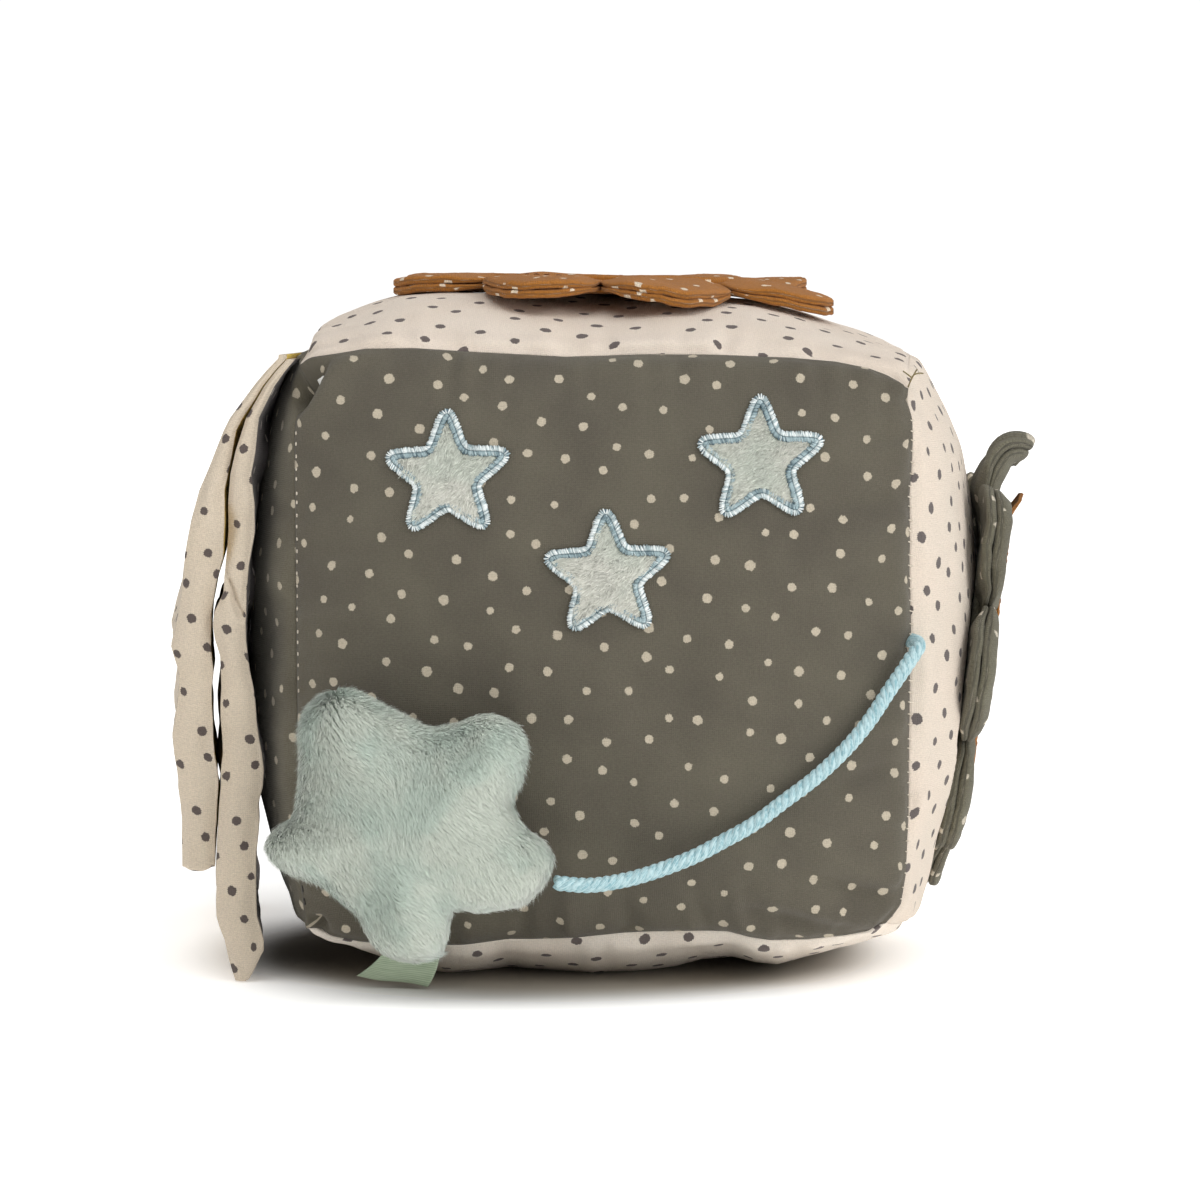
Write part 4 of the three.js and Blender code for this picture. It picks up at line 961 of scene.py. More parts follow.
def scatter(G, n, seed, weight=None, wrap=True):
    """n points with normals on a grid surface, spread by area"""
    rs = np.random.default_rng(seed)
    nx = np.roll(G, -1, 0) if wrap else G[1:]
    A0 = (G if wrap else G[:-1])
    a, b, c, d = A0[:, :-1], nx[:, :-1], nx[:, 1:], A0[:, 1:]
    cr = np.cross(c - a, d - b)
    area = np.linalg.norm(cr, axis=-1)
    w = area if weight is None else area * weight(0.25 * (a + b + c + d), unit(cr))
    cum = np.cumsum(w.ravel())
    pick = np.searchsorted(cum, rs.random(n) * cum[-1]).clip(0, len(cum) - 1)
    i, j = np.unravel_index(pick, area.shape)
    f, g = rs.random((2, n, 1))
    P = (a[i, j] * (1 - f) + b[i, j] * f) * (1 - g) + (d[i, j] * (1 - f) + c[i, j] * f) * g
    return P, unit(cr[i, j])


for name, side, sign, n in (("front", front_side, -1, 95000), ("front_second", front_side, -1, 95000), ("back", back_side, 1, 60000)):
    P, Nn = scatter(side, n, 31 + sign + len(name))
    Nn = np.where((Nn[:, 1] * sign < 0)[:, None], -Nn, Nn)
    out = unit((P - STAR_C) * [1, 0, 1])
    near = np.clip(1 - np.abs(P[:, 1] - STAR_C[1]) / 5.5, 0, 1)[:, None]
    Nn = unit(Nn + 1.1 * near * out)
    ang = math.radians(-50) + 0.45 * noise(P[:, 0] / 12, P[:, 2] / 12, seed=4) + 0.2 * noise(P[:, 0] / 4.5, P[:, 2] / 4.5, seed=9)
    D = np.stack([np.cos(ang), 0 * ang, np.sin(ang)], 1) + 0.5 * near * out
    ob = blades(f"plush_star_{name}_pile", P, Nn, D, 1.7 if sign < 0 else 1.5, 0.11, 0.5 if sign < 0 else 0.3, M_PLUSH, seed=50 + sign + len(name),
                clump=0.24, clump_mm=1.1)
    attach(ob, "plush_star")


# ---------------------------------------------------------------- twisted cord
def catmull(P, step):
    """centripetal curve through the points, resampled at an even step"""
    P = np.asarray(P, float)
    P = np.concatenate([[2 * P[0] - P[1]], P, [2 * P[-1] - P[-2]]])
    out = []
    for a, b, c, d in zip(P[:-3], P[1:-2], P[2:-1], P[3:]):
        t0 = 0.0
        t1 = t0 + np.linalg.norm(b - a) ** 0.5
        t2 = t1 + np.linalg.norm(c - b) ** 0.5
        t3 = t2 + np.linalg.norm(d - c) ** 0.5
        t = np.linspace(t1, t2, 40, endpoint=False)[:, None]
        A1 = (t1 - t) / (t1 - t0) * a + (t - t0) / (t1 - t0) * b
        A2 = (t2 - t) / (t2 - t1) * b + (t - t1) / (t2 - t1) * c
        A3 = (t3 - t) / (t3 - t2) * c + (t - t2) / (t3 - t2) * d
        B1 = (t2 - t) / (t2 - t0) * A1 + (t - t0) / (t2 - t0) * A2
        B2 = (t3 - t) / (t3 - t1) * A2 + (t - t1) / (t3 - t1) * A3
        out.append((t2 - t) / (t2 - t1) * B1 + (t - t1) / (t2 - t1) * B2)
    out = np.concatenate(out + [P[-2:-1]])
    L = np.concatenate([[0], np.cumsum(np.linalg.norm(np.diff(out, axis=0), axis=1))])
    want = np.linspace(0, L[-1], max(2, int(round(L[-1] / step)) + 1))
    return np.stack([np.interp(want, L, out[:, d]) for d in range(3)], 1), L[-1]


def twisted(path, length, plies, ring, radius, lay, sides, pile):
    tan = unit(np.gradient(path, axis=0))
    a = unit(np.cross(tan, [0.13, 0.2, 0.97]))
    for i in range(1, len(path)):
        v = a[i - 1] - tan[i] * (a[i - 1] @ tan[i])
        a[i] = v / np.linalg.norm(v)
    b = np.cross(tan, a)
    s = np.linspace(0, length, len(path))
    for p in range(plies):
        f = -2 * math.pi * s / lay + 2 * math.pi * p / plies
        q = path + ring * (np.cos(f)[:, None] * a + np.sin(f)[:, None] * b)
        V, Q, Tr, uv = tube_mesh(q, radius, sides)
        uv = uv + [p * 7.3, 0]
        pile.V.append(V)
        pile.Q.append(Q + pile.n)
        pile.T.append(np.asarray(Tr) + pile.n)
        pile.uv.append(uv)
        pile.n += len(V)


path, cord_len = catmull(CORD_ROUTE, 0.3)
pile = Pile()
twisted(path, cord_len, 3, 0.69, 0.83, 5.0, 12, pile)
cord = pile.make("star_cord_twisted", M_CORD)
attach(cord, "cord")
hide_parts("star_cord")
end, end_len = catmull([[60.4, -65.6, 66.0], [61.3, -64.8, 67.3], [61.9, -63.4, 68.3], [61.3, -61.4, 68.9], [60.0, -59.4, 69.0]], 0.3)
pile = Pile()
twisted(end, end_len, 3, 0.66, 0.80, 5.0, 12, pile)
tip = pile.make("cord_seam_end", M_CORD)
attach(tip, "cord_root")
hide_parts("cord_tack")

# ---------------------------------------------------------------- pages
# [z, x of the middle, half thickness] of the page's front edge
INNER = np.array([[-0.7, -70.9, 2.4], [1.7, -71.1, 3.0], [4.6, -71.4, 3.5], [8.5, -71.8, 3.9], [11.1, -72.6, 4.1], [13.1, -73.2, 4.05], [16.3, -73.3, 4.05], [19.6, -73.2, 3.95],
                  [26.2, -73.0, 3.95], [29.4, -72.8, 4.1], [32.7, -72.5, 4.1], [36.0, -72.5, 3.9], [39.2, -72.0, 4.15], [42.5, -71.9, 4.2], [45.8, -71.9, 3.8], [49.0, -72.2, 3.6],
                  [52.3, -72.5, 3.55], [55.5, -72.6, 3.5], [58.8, -72.7, 3.2], [62.0, -73.1, 2.9], [65.3, -73.3, 2.75], [68.5, -73.9, 3.05], [71.6, -74.1, 3.3], [74.1, -73.9, 3.1],
                  [78.1, -73.0, 2.2], [83.3, -72.7, 2.3], [89.7, -71.9, 2.6], [95.7, -71.8, 2.6], [101.4, -71.9, 2.0], [105.9, -70.9, 1.9], [112.4, -69.4, 1.25], [118.8, -66.0, 1.0],
                  [121.6, -63.9, 0.9], [124.2, -61.6, 0.8]])
OUTER = np.array([[23.2, -80.6, 3.25], [29.4, -80.3, 3.35], [32.7, -80.2, 3.45], [35.9, -80.3, 3.65], [39.2, -80.5, 4.0], [42.4, -80.8, 4.0], [45.7, -81.4, 4.0], [49.0, -81.7, 4.05],
                  [52.2, -81.5, 3.8], [55.5, -81.4, 3.45], [58.8, -81.2, 3.25], [62.0, -81.0, 3.45], [67.1, -82.0, 3.95], [73.6, -81.2, 3.25], [80.0, -80.1, 3.3], [85.2, -79.1, 3.8],
                  [91.7, -78.3, 3.3], [98.2, -77.6, 2.45], [104.6, -75.6, 1.8], [109.9, -74.0, 1.2], [112.4, -72.7, 1.2], [116.0, -70.1, 1.1], [118.8, -67.7, 0.9], [122.0, -65.0, 0.85],
                  [125.0, -62.4, 0.8]])
LEAN_IN = np.array([[0, 0.128], [50, 0.128], [74, 0.106], [92, 0.093], [105, 0.05], [118, 0.0], [126, 0.0]])      # how far a page swings out, mm for each mm of depth
LEAN_OUT = np.array([[0, 0.136], [68, 0.136], [80, 0.125], [92, 0.12], [105, 0.06], [118, 0.0], [126, 0.0]])


def left_x(y, z):
    return -(HX + BULGE_SIDE * swell(y / HY) * swell((z - ZC) / HZ))


def page_mid(which, y, z):
    deep = smooth((y + 57) / 22)
    xi, hi = np.interp(z, INNER[:, 0], INNER[:, 1]), np.interp(z, INNER[:, 0], INNER[:, 2]) * (1 - 0.12 * deep)
    xi = xi - np.interp(z, LEAN_IN[:, 0], LEAN_IN[:, 1]) * (y + 58)
    wall = left_x(y, z) - hi - 0.6 + np.where(z > 122, (z - 122) * 2.0, 0.0)
    inner = np.where(y > -52, np.minimum(xi, wall), xi)
    if which == "inner":
        return inner, hi
    xo, ho = np.interp(z, OUTER[:, 0], OUTER[:, 1]), np.interp(z, OUTER[:, 0], OUTER[:, 2]) * (1 - 0.12 * deep)
    xo = xo - np.interp(z, LEAN_OUT[:, 0], LEAN_OUT[:, 1]) * (y + 58)
    return np.minimum(xo, inner - hi - ho - np.interp(z, [112, 124], [0.5, 0.2])), ho


def page_front(which, z):
    """how much the page's front edge leans towards the viewer there"""
    n = 33 if which == "inner" else 38
    return 1.5 * noise(z / 15, seed=n) * smooth((120 - z) / 14) + 0.5 * noise(z / 6, seed=n + 1) * smooth((118 - z) / 14)


def page_edge(which, e, y, z):
    """x of the page's cloth at e from -1, the outer side, to 1, the cube's side"""
    mid, h = page_mid(which, y, z)
    n = 3 if which == "inner" else 8
    deep = smooth((y + 54) / 14)
    free = smooth((122 - z) / 14)
    w = 1 + deep * free * 0.16 * noise(z / 9, y / 20, np.where(e > 0, 4.0, 0.0), seed=n)
    bump = 0.0
    if which == "outer":        # and the yellow side of the outer page in the gap between the pages
        for zc, yc, size, up in ((93.0, -42, 7.5, 0.9), (112.0, -44, 4.0, 0.5)):
            bump = bump + up * np.exp(-(((z - zc) / size) ** 2) - ((y - yc) / 10.0) ** 2) * (e > 0.9)
    if which == "inner":        # pointed folds that the cube's side of the inner page shows behind its front edge
        for zc, yc, size, up in ((104.5, -34, 4.0, 3.6), (78.5, -32, 4.5, 3.4), (44.0, -36, 5.0, 2.4)):
            bump = bump + up * np.exp(-(((z - zc) / size) ** 2) - ((y - yc) / 13.0) ** 2) * (e > 0.9)
    return mid + deep * free * 0.4 * noise(z / 16, y / 24, seed=n + 2) + e * h * w + bump


def page_piece(which, z0, z1, face_mat, low=None, crease=None):
    Y0, Y1 = -57.6, 57.0
    nz, ny = 130, 96
    zz = np.linspace(z0, z1, nz)
    yy = np.linspace(Y0, Y1, ny)

    def drop(e, y):
        """how much higher the bottom edge is there"""
        return 0.0 * y if low is None else low(e, y)

    def faces(e, puff, thick):
        Z, Y = np.meshgrid(zz, yy, indexing="ij")
        Z = Z + drop(e, Y) * smooth((z0 + 26 - Z) / 26)
        ry, rz = (Y - Y0) / (Y1 - Y0) * 2 - 1, (Z - z0) / (z1 - z0) * 2 - 1
        X = page_edge(which, e, Y, Z)
        Y = Y - page_front(which, Z) * ((1 - ry) / 2) ** 4
        b = puff * np.clip((Y + 50) / 20, 0, 1) * np.maximum(0, 1 - np.abs(ry) ** 6) ** 0.6 * np.maximum(0, 1 - np.abs(rz) ** 8) ** 0.6
        b = b + 0.35 * noise(Y / 9, Z / 12, seed=60 + int(e)) * np.maximum(0, 1 - np.abs(ry) ** 8) * np.maximum(0, 1 - np.abs(rz) ** 8)
        q = np.stack([X + e * b, Y, Z], -1)
        p = q.copy()
        p[..., 0] -= e * thick
        return q, p

    def skin_of(e, name, mat, node_name):
        q, p = faces(e, 0.3, 0.5)
        uv = flat_lengths(q)[..., ::-1]
        if e > 0:     # turned so that the shell's outer side looks out
            q, p, uv = q[:, ::-1], p[:, ::-1], uv[:, ::-1]
        ob = shell(name, q[:, ::-1], p[:, ::-1], uv[:, ::-1], mat)
        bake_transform(ob)
        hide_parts(node_name)
        return ob

    skin_of(-1.0, f"{which}_page_outer_cloth", M_CREAM_PAGE, f"{which}_page_outer_face")
    skin_of(1.0, f"{which}_page_cube_cloth", face_mat[0], f"{which}_page_cube_face")
    # the gusset runs down the front edge, along the bottom and up the back edge
    n1, nb, n2 = 300, 90, 110
    path = [(Y0, z, -1.0, 0.0) for z in np.linspace(z1, z0, n1)] + [(y, z0, 0.0, -1.0) for y in np.linspace(Y0, Y1, nb)[1:]]
    path += [(Y1, z, 1.0, 0.0) for z in np.linspace(z0, z1, n2)[1:]]
    path = np.array(path)
    path[n1 - 1, 2:], path[n1 - 2 + nb, 2:] = (-0.6, -0.6), (0.6, -0.6)
    ev = np.linspace(-1, 1, 25)
    Yg, E = np.meshgrid(path[:, 0], ev, indexing="ij")
    Zg = np.repeat(path[:, 1][:, None], len(ev), 1)
    Zg = Zg + drop(E, Yg) * smooth((z0 + 26 - Zg) / 26)
    X = page_edge(which, E, Yg, Zg)
    run = np.arange(len(path))[:, None] * 0.45
    bulge = 1.5 * (1 - np.abs(E) ** 2.4) + 0.35 * noise(run / 6, E * 1.2, seed=71) * (1 - E ** 4)
    lip = 0.3 * np.exp(-((np.abs(E) - 1) / 0.09) ** 2)
    front = (path[:, 2] == -1.0)[:, None]
    b = (bulge * smooth((126 - Zg) / 12) * np.where(front, 1.0, 0.9) + lip)
    if crease is not None:
        (e0, c0), (e1, c1), width, depth = crease
        f = np.clip(((E - e0) * (e1 - e0) * 9 + (Zg - c0) * (c1 - c0)) / ((e1 - e0) ** 2 * 9 + (c1 - c0) ** 2), 0, 1)
        away = np.hypot((E - e0 - f * (e1 - e0)) * 3.0, Zg - c0 - f * (c1 - c0))
        side = np.sign((Zg - c0) * (e1 - e0) - (E - e0) * (c1 - c0))
        b = b + front * (-depth * np.exp(-((away / width) ** 2)) + 0.7 * depth * np.exp(-(((away - 2.6 * width) / (2.2 * width)) ** 2)) * (side < 0))
    shift = page_front(which, Zg) * np.clip((-30 - Yg) / 27.6, 0, 1) ** 2
    G = np.stack([X, Yg + path[:, 2][:, None] * b - shift, Zg + path[:, 3][:, None] * b], -1)
    Gi = np.stack([X, Yg + path[:, 2][:, None] * (b - 0.5) - shift, Zg + path[:, 3][:, None] * (b - 0.5)], -1)
    G[..., 2], Gi[..., 2] = np.maximum(G[..., 2], 0.15), np.maximum(Gi[..., 2], 0.65)
    uv = flat_lengths(G, 0, 12)[..., ::-1]
    ob = shell(f"{which}_page_gusset_cloth", G, Gi, uv, M_CREAM_PAGE)
    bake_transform(ob)
    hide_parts(f"{which}_page_gusset")
    # batting
    (q, _), (p, _) = faces(-0.7, 0.0, 0), faces(0.7, 0.0, 0)
    q, p = q[2:-1, 1:-1][::3, ::3], p[2:-1, 1:-1][::3, ::3]
    thin = 0.44 * smooth((q[..., 2:] - (z1 - 20)) / 8)          # little of it reaches the fold
    q, p = q + thin * (p - q), p - thin * (p - q)
    ob = shell(f"{which}_page_batting", q[:, ::-1], p[:, ::-1], flat_lengths(q), M_FIBRE)
    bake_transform(ob)
    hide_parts(f"{which}_page_padding")


page_piece("inner", 0.2, 124.0, (M_PLUM, "plum_cotton"),
           low=lambda e, y: 6.2 * np.clip((e + 0.5) / 1.5, 0, 1) ** 1.5, crease=((-0.55, 80.2), (0.8, 73.4), 0.55, 1.0))
page_piece("outer", 23.3, 124.9, (M_YELLOW, "yellow_cotton"))

# ---------------------------------------------------------------- flowers
WIDE = [[28.0, 11.6], [31, 12.8], [34, 13.9], [36.5, 13.9], [39, 12.7], [42, 10.6], [44.5, 8.3], [46.5, 5.7], [47.8, 3.2], [48.2, 1.7]]
NARROW = [[28.0, 10.9], [30.5, 11.7], [32.5, 11.4], [35.5, 9.6], [38.2, 6.4], [39.5, 3.8], [40.0, 1.8]]


def lobe(table, n_r=30, n_e=27):
    """grid of flat points (along, across) of a petal and their distance to its free outline"""
    tb = np.array(table)
    q = np.linspace(0, 1, n_r)
    r = tb[0, 0] + (tb[-1, 0] - tb[0, 0]) * (1 - (1 - q) ** 1.5)
    w = np.interp(r, tb[:, 0], tb[:, 1])
    for _ in range(2):
        w[1:-1] = 0.25 * w[:-2] + 0.5 * w[1:-1] + 0.25 * w[2:]
    e = np.sin(np.linspace(-1, 1, n_e) * math.pi / 2)
    X, E = np.meshgrid(r, e, indexing="ij")
    Yv = E * w[:, None]
    ol = np.concatenate([np.stack([r, -w], 1), np.stack([np.full(n_e, r[-1]), e * w[-1]], 1), np.stack([r[::-1], w[::-1]], 1)])
    seg = np.concatenate([ol[:-1] + (ol[1:] - ol[:-1]) * f for f in (0, 0.25, 0.5, 0.75)])
    d = np.sqrt(((X[..., None] - seg[:, 0]) ** 2 + (Yv[..., None] - seg[:, 1]) ** 2).min(-1))
    d[:, 0] = d[:, -1] = d[-1, :] = 0
    return X, Yv, d


def petal(name, table, angle, layers, place, warp, mat, uv_shift, puff=0.45, rim=0.0):
    """layers are (height of the middle, thickness); place turns flat points into the row frame"""
    X, Y, d = lobe(table)
    c, s = math.cos(angle), math.sin(angle)
    fx, fy = X * c - Y * s, X * s + Y * c
    parts_V, parts_F, parts_uv, off = [], [], [], 0
    nu, nv = X.shape
    for no, (mid, thick) in enumerate(layers):
        f = 0.25 + 0.75 * np.sqrt(1 - (1 - np.clip(d / (0.42 * thick), 0, 1)) ** 2)
        tight = 1 - 0.42 * smooth((np.degrees(np.arctan2(np.abs(Y), X)) - 13.5) / 7.0)     # the layers are pressed together in the notches
        mid, full = mid * tight, thick / 2 * f * tight
        plump = (puff * (1 - np.exp(-d / 3.5)) + rim * np.exp(-(((d - 2.6) / 2.0) ** 2)) * np.clip(d / 1.2, 0, 1) * smooth((fx + 48) / 25)) * (1 if no == len(layers) - 1 else 0)
        h = warp(fx, fy, X) + 0.14 * noise(fx / 3.3, fy / 3.3, seed=5 + no) + 0.10 * noise(fx / 1.6, fy / 1.6, seed=15 + no)
        steep = np.sqrt(1 + ((warp(fx + 0.2, fy, X) - warp(fx - 0.2, fy, X)) / 0.4) ** 2 + ((warp(fx, fy + 0.2, X) - warp(fx, fy - 0.2, X)) / 0.4) ** 2)
        steep = np.minimum(steep, 1.8)
        top = place(fx, fy, h + (mid + full + plump) * steep)
        low = place(fx, fy, h + (mid - full) * steep)
        parts_V += [top.reshape(-1, 3), low.reshape(-1, 3)]
        parts_F += [grid_faces(nu, nv, off), grid_faces(nu, nv, off + nu * nv, True), rim_faces(nu, nv, nu * nv) + off]
        uv = np.stack([fx + uv_shift + 31 * no, fy - uv_shift], -1)
        parts_uv += [uv.reshape(-1, 2), uv.reshape(-1, 2) + 17.0]
        off += 2 * nu * nv
    return build(name, np.concatenate(parts_V), np.concatenate(parts_F), np.concatenate(parts_uv), mat, weld=0.003)


def flower_centre(name, radius, layers, place, warp, mat, uv_shift, puff=0.45):
    na, nr = 120, 34
    a = np.arange(na) / na * 2 * math.pi
    r = radius * (1 - (1 - np.linspace(0, 1, nr)) ** 1.4)
    A, R = np.meshgrid(a, r, indexing="ij")
    fx, fy = R * np.cos(A), R * np.sin(A)
    d = radius - R
    V, F, UV, off = [], [], [], 0
    for no, (mid, thick) in enumerate(layers):
        full = thick / 2 * np.sqrt(1 - (1 - np.clip(d / (0.62 * thick), 0, 1)) ** 2)
        plump = puff * (1 - 0.7 * np.exp(-(((R - 28.4) / 0.9) ** 2))) * (1 if no == len(layers) - 1 else 0) * np.clip(d / 0.6, 0, 1)
        h = warp(fx, fy, R) + 0.10 * noise(fx / 3.3, fy / 3.3, seed=5 + no)
        top, low = place(fx, fy, h + mid + full + plump), place(fx, fy, h + mid - full)
        V += [top.reshape(-1, 3), low.reshape(-1, 3)]
        F += [grid_faces(na, nr, off, True, wrap=True), grid_faces(na, nr, off + na * nr, False, wrap=True)]
        i = np.arange(na)
        ii = (i + 1) % na
        F.append(np.stack([i * nr + nr - 1, i * nr + nr - 1 + na * nr, ii * nr + nr - 1 + na * nr, ii * nr + nr - 1], 1) + off)
        uv = np.stack([fx + uv_shift + 31 * no, fy - uv_shift], -1)
        UV += [uv.reshape(-1, 2), uv.reshape(-1, 2) + 17.0]
        off += 2 * na * nr
    return build(name, np.concatenate(V), np.concatenate(F), np.concatenate(UV), mat, weld=0.003)


def top_place(x, y, h):
    front = np.interp(x, [-48, -28, 0, 28, 40, 48], [-0.8, 1.4, -1.7, -4.6, -2.0, 0.8]) * smooth((-y - 20) / 16)      # the petals aren't quite even
    far = -0.36 * np.maximum(0, x - 30) * smooth((y + 4) / 10)
    return np.stack([x + front + far, y, h], -1)


TOP_DROP = {0: 1.8, 1: 1.3, 2: 0.4, 3: 0.1, 4: -0.7, 5: -1.1, 6: -1.7, 7: -3.0}   # height of each petal's tip over the flower's plane
TOP_TWIST = {0: 0.3, 1: -0.4, 2: 0.3, 3: -0.3, 4: 0.2, 5: -0.2, 6: -1.2, 7: -0.4}


def top_warp_of(i):
    a = math.radians(22.5 + 45 * i)

    def warp(x, y, R):
        out, acr = x * math.cos(a) + y * math.sin(a), -x * math.sin(a) + y * math.cos(a)
        k = np.clip((out - 27) / 21, 0, 1.1)
        turn = TOP_TWIST[i] * (np.clip((acr + 4) / 12, 0, 1.2) if i == 6 else acr / 12) * k
        return top_plane(x, y) + 0.2 * noise(x / 14, y / 14, seed=90) + TOP_DROP[i] * k ** 1.5 + turn + 0.3 * k * noise(acr / 6, i * 3.1, seed=91)
    return warp


def top_warp_centre(x, y, R):
    return top_plane(x, y) + 0.2 * noise(x / 14, y / 14, seed=90) + 0.8 * np.exp(-(((x + 15) / 6) ** 2 + ((y + 24) / 5) ** 2)) * np.clip((30 - R) / 4, 0, 1)


TOP_LAYERS = [(-0.85, 1.68), (0.85, 1.66)]
ob = flower_centre("top_flower_centre_cloth", 30.9, TOP_LAYERS, top_place, top_warp_centre, M_RUST, 3.0)
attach(ob, "cube")
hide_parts("top_flower_centre")
tacks = Pile()
for i in range(8):
    a = math.radians(22.5 + 45 * i)
    ob = petal(f"top_flower_petal_{i + 1}_cloth", WIDE, a, TOP_LAYERS, top_place, top_warp_of(i), M_RUST, 3.0)
    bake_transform(ob)
    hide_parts(f"top_flower_petal_{i + 1}")
for q in np.arange(0, 2 * math.pi, 2.6 / 28.4):      # the ring of stitches that holds the flower
    f = q + np.linspace(0, 1.5 / 28.4, 5)
    x, y = 28.4 * np.cos(f), 28.4 * np.sin(f)
    z = top_warp_centre(x, y, np.full(5, 28.4)) + 0.85 + 0.83 + 0.2 + np.array([-0.12, 0.03, 0.06, 0.03, -0.12])
    tacks.tube(np.stack([x, y, z], 1), 0.17, 5, tag=q)
ob = tacks.make("top_flower_stitches", M_RUST_THREAD)
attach(ob, "cube")

ROLL_S = np.linspace(35, 52, 86)                   # the uppermost petal rolls outwards over its last third
ROLL_T = np.radians(np.interp(ROLL_S, [35, 38, 42.5, 48, 50], [0, 22, 30, 112, 118]))
ROLL_X = 35 + np.concatenate([[0.0], np.cumsum(0.2 * np.cos(0.5 * (ROLL_T[1:] + ROLL_T[:-1])))])
ROLL_L = np.concatenate([[0.0], np.cumsum(0.2 * np.sin(0.5 * (ROLL_T[1:] + ROLL_T[:-1])))])


def side_place(x, y, h):
    turn, along, lift = np.interp(x, ROLL_S, ROLL_T), np.where(x < 35, x, np.interp(x, ROLL_S, ROLL_X)), np.interp(x, ROLL_S, ROLL_L)
    along, out = along - (h + 5.0) * np.sin(turn), lift - 5.0 + (h + 5.0) * np.cos(turn)
    return SF + along[..., None] * SX + y[..., None] * SY + out[..., None] * SZ


def rust_place(x, y, h):
    """the smaller petal shape on top"""
    r = np.maximum(np.hypot(x, y), 1e-6)
    k = np.where(r > 30, (30 + (r - 30) * 0.6) / r, 1.0)
    return SF + (x * k)[..., None] * SX + (y * k)[..., None] * SY + h[..., None] * SZ


SIDE_LAYERS, RUST_LAYERS = [(-2.45, 2.15), (-0.30, 2.1)], [(1.12, 0.42), (1.52, 0.38)]
ob = flower_centre("side_flower_centre_cloth", 30.9, SIDE_LAYERS, side_place, SIDE_WARP, M_OLIVE_FLOWER, 40.0, 0.15)
ob2 = flower_centre("rust_flower_centre_cloth", 30.9, RUST_LAYERS, rust_place, RUST_WARP, M_RUST, 60.0, 0.15)
for o, n_, sl in ((ob, "side_flower_centre", "olive_cotton"), (ob2, "rust_flower_centre", "rust_cotton")):
    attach(o, "cube")
    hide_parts(n_)
for i in range(8):
    a = math.radians(45 * i)
    e = math.cos(a) * SX + math.sin(a) * SY
    for stem, table, layers, mat, sl, sh, wp in (("side", WIDE, SIDE_LAYERS, M_OLIVE_FLOWER, "olive_cotton", 40.0, SIDE_WARP), ("rust", NARROW, RUST_LAYERS, M_RUST, "rust_cotton", 60.0, RUST_WARP)):
        ob = petal(f"{stem}_flower_petal_{i + 1}_cloth", table, a, layers, side_place if stem == "side" else rust_place, wp, mat, sh, 0.15, 1.0 if stem == "side" else 0.0)
        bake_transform(ob)
        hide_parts(f"{stem}_flower_petal_{i + 1}")
ring = Pile()
for q in np.arange(0, 2 * math.pi, 2.6 / 28.4):
    f = q + np.linspace(0, 1.5 / 28.4, 5)
    x, y = 28.4 * np.cos(f), 28.4 * np.sin(f)
    h = RUST_WARP(x, y, None) + 1.52 + 0.19 + 0.05 + 0.1 + np.array([-0.12, 0.03, 0.06, 0.03, -0.12])
    ring.tube(side_place(x, y, h), 0.17, 5, tag=q)
ob = ring.make("side_flower_stitches", M_RUST_THREAD)
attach(ob, "cube")

# ---------------------------------------------------------------- ribbon tab
U, W = np.meshgrid(np.linspace(-7, 7, 29), np.linspace(0, 1, 25), indexing="ij")
end_z = 1.3 - 0.12 * U                        # the folded end lies lower towards the right
X = -37.4 - 4.3 * W ** 2.0 + U * (0.68 + 0.34 * W)
Y = -61.0 - 2.0 * np.sin(W * math.pi) ** 0.8 + (-2.2 - 0.15 * U) * W ** 1.5
Z = np.maximum(9.2 + (end_z - 9.2) * W ** 1.05 + 0.2 * np.sin(U * 0.5) * W, 0.3)
outer = np.stack([X, Y, Z], -1)
back = outer.copy()
back[..., 1] += 0.95
back[..., 2] = np.maximum(back[..., 2] - 0.1, 0.2)
tab = shell("ribbon_tab_loop", outer[:, ::-1], back[:, ::-1], flat_lengths(outer)[:, ::-1], M_RIBBON_SHADED)
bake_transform(tab)
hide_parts("ribbon_tab")

# ---------------------------------------------------------------- corner threads
knot_ob = knot.make("corner_thread_ends", M_OLIVE_THREAD)
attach(knot_ob, "cube")

# ---------------------------------------------------------------- carried-over hard pieces
for n_, m_ in (("rattle_cup", M_CAPSULE), ("rattle_lid", M_CAPSULE), ("rattle_bead_1", M_BEAD), ("rattle_bead_2", M_BEAD), ("rattle_bead_3", M_BEAD)):
    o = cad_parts[n_]
    o = bpy.data.objects.get(n_) if not isinstance(o, bpy.types.Object) else o
    if len(o.material_slots) == 0:
        o.data.materials.append(m_)
    for sl in o.material_slots:
        sl.material = m_

# ---------------------------------------------------------------- floor, light
m, t, b = material("studio_floor")
obj_c = node(t, "TexCoord").outputs["Object"]
f = tex(t, obj_c, 3.0, 2.0, 0.5)
set_in(b, Roughness=0.9, Specular_IOR_Level=0.1, Emission_Color=(1, 1, 1, 1))
from_shadow_centre = node(t, "VectorMath", {0: obj_c, 1: (-0.012, -0.012, 0.0)}, operation="SUBTRACT").outputs[0]
away = node(t, "VectorMath", {0: from_shadow_centre}, operation="LENGTH").outputs["Value"]
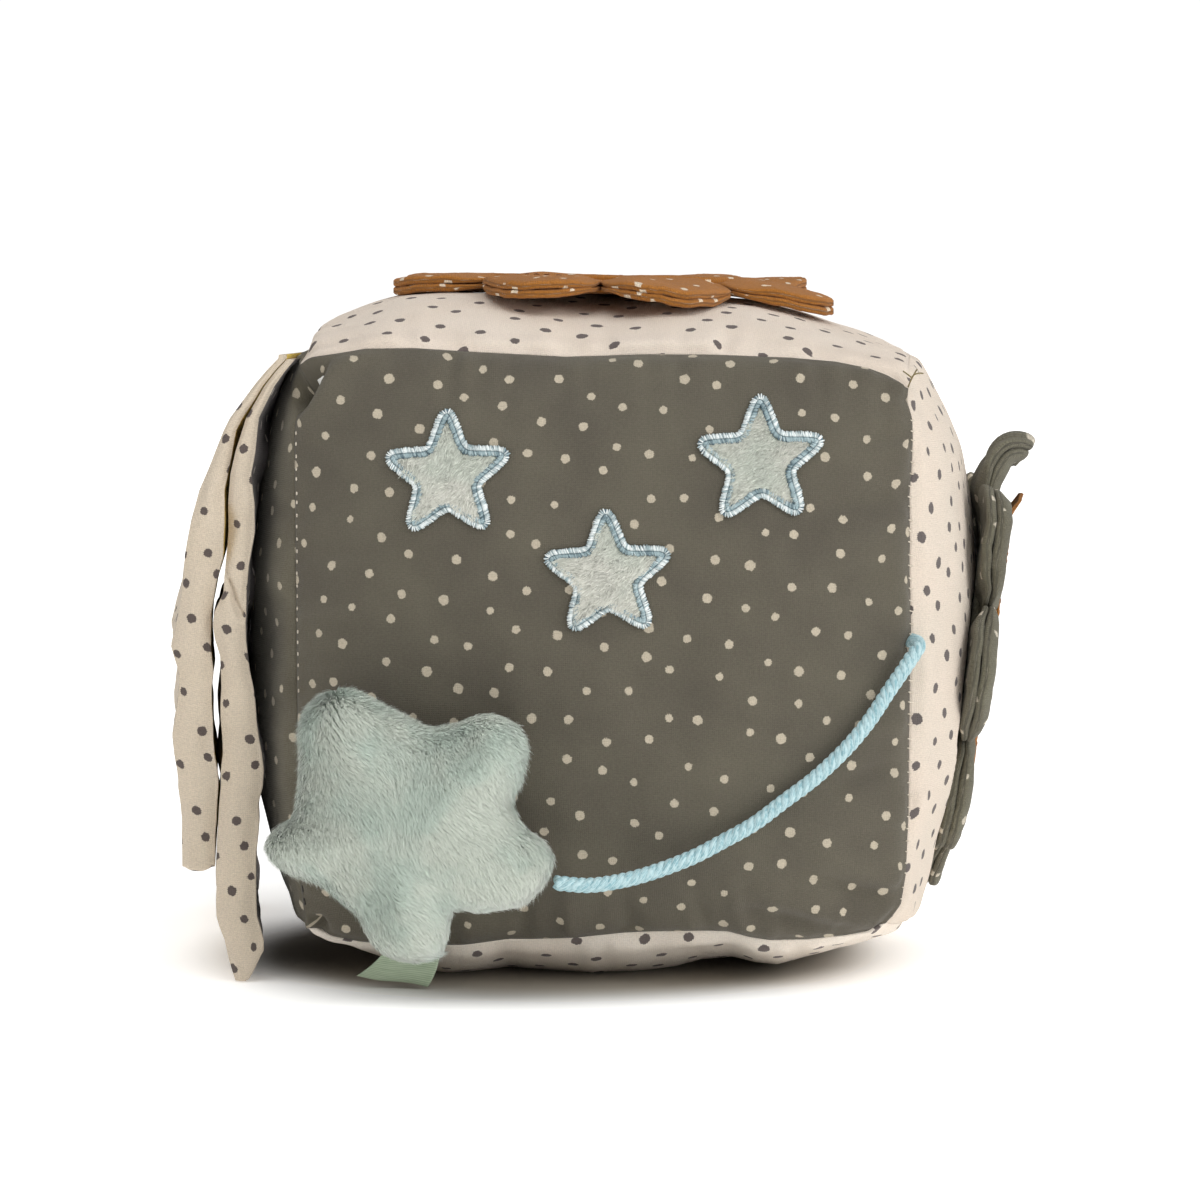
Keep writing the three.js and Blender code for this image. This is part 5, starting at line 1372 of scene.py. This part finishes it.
# painted shadow: the floor's colour turns grey within 48 to 72 mm of a point just front-left of the cube's middle
t.links.new(mix(t, span(t, away, 0.048, 0.072), rgb("aaa49a"), mix(t, f, rgb("fcfbf9"), rgb("f9f8f6"))), b.inputs["Base Color"])
t.links.new(span(t, away, 0.057, 0.084, 0.0, 0.45), b.inputs["Emission Strength"])      # the floor glows, from nothing 57 mm out to full 84 mm out, a painted light that fades the cube's shadow to white
floor = build("studio_floor", [[-9000, -9000, -0.1], [9000, -9000, -0.1], [9000, 9000, -0.1], [-9000, 9000, -0.1]], np.array([[0, 1, 2, 3]]), np.zeros((4, 2)), m)

world = bpy.data.worlds.new("studio")
bpy.context.scene.world = world
world.use_nodes = True
wt = world.node_tree
wt.nodes.clear()
wo = wt.nodes.new("ShaderNodeOutputWorld")
wb = wt.nodes.new("ShaderNodeBackground")
wb.inputs[0].default_value = (1.0, 0.995, 0.985, 1)
lp = wt.nodes.new("ShaderNodeLightPath")
mr = wt.nodes.new("ShaderNodeMapRange")
mr.inputs["To Min"].default_value = 0.30
mr.inputs["To Max"].default_value = 1.05
wt.links.new(lp.outputs["Is Camera Ray"], mr.inputs["Value"])
wt.links.new(mr.outputs[0], wb.inputs[1])
wt.links.new(wb.outputs[0], wo.inputs[0])


def sun(name, towards, strength, angle, colour=(1, 1, 1)):
    """a wide soft source far away, in the direction given"""
    l = bpy.data.lights.new(name, "SUN")
    l.energy = strength
    l.angle = math.radians(angle)
    l.color = colour
    o = bpy.data.objects.new(name, l)
    o.rotation_euler = Vector(towards).to_track_quat("Z", "Y").to_euler()
    bpy.context.scene.collection.objects.link(o)
    return o


sun("key", (-0.12, -0.5, 1.0), 0.74, 50)
sun("left", (-0.9, -0.2, 0.35), 0.14, 60)
sun("side", (0.9, -0.55, 0.5), 1.45, 50)
sun("top", (0.05, 0.1, 1.0), 0.75, 90)

bpy.context.scene.view_settings.view_transform = "Standard"
bpy.context.scene.view_settings.look = "None"
bpy.context.scene.cycles.use_denoising = True

bpy.context.view_layer.update()
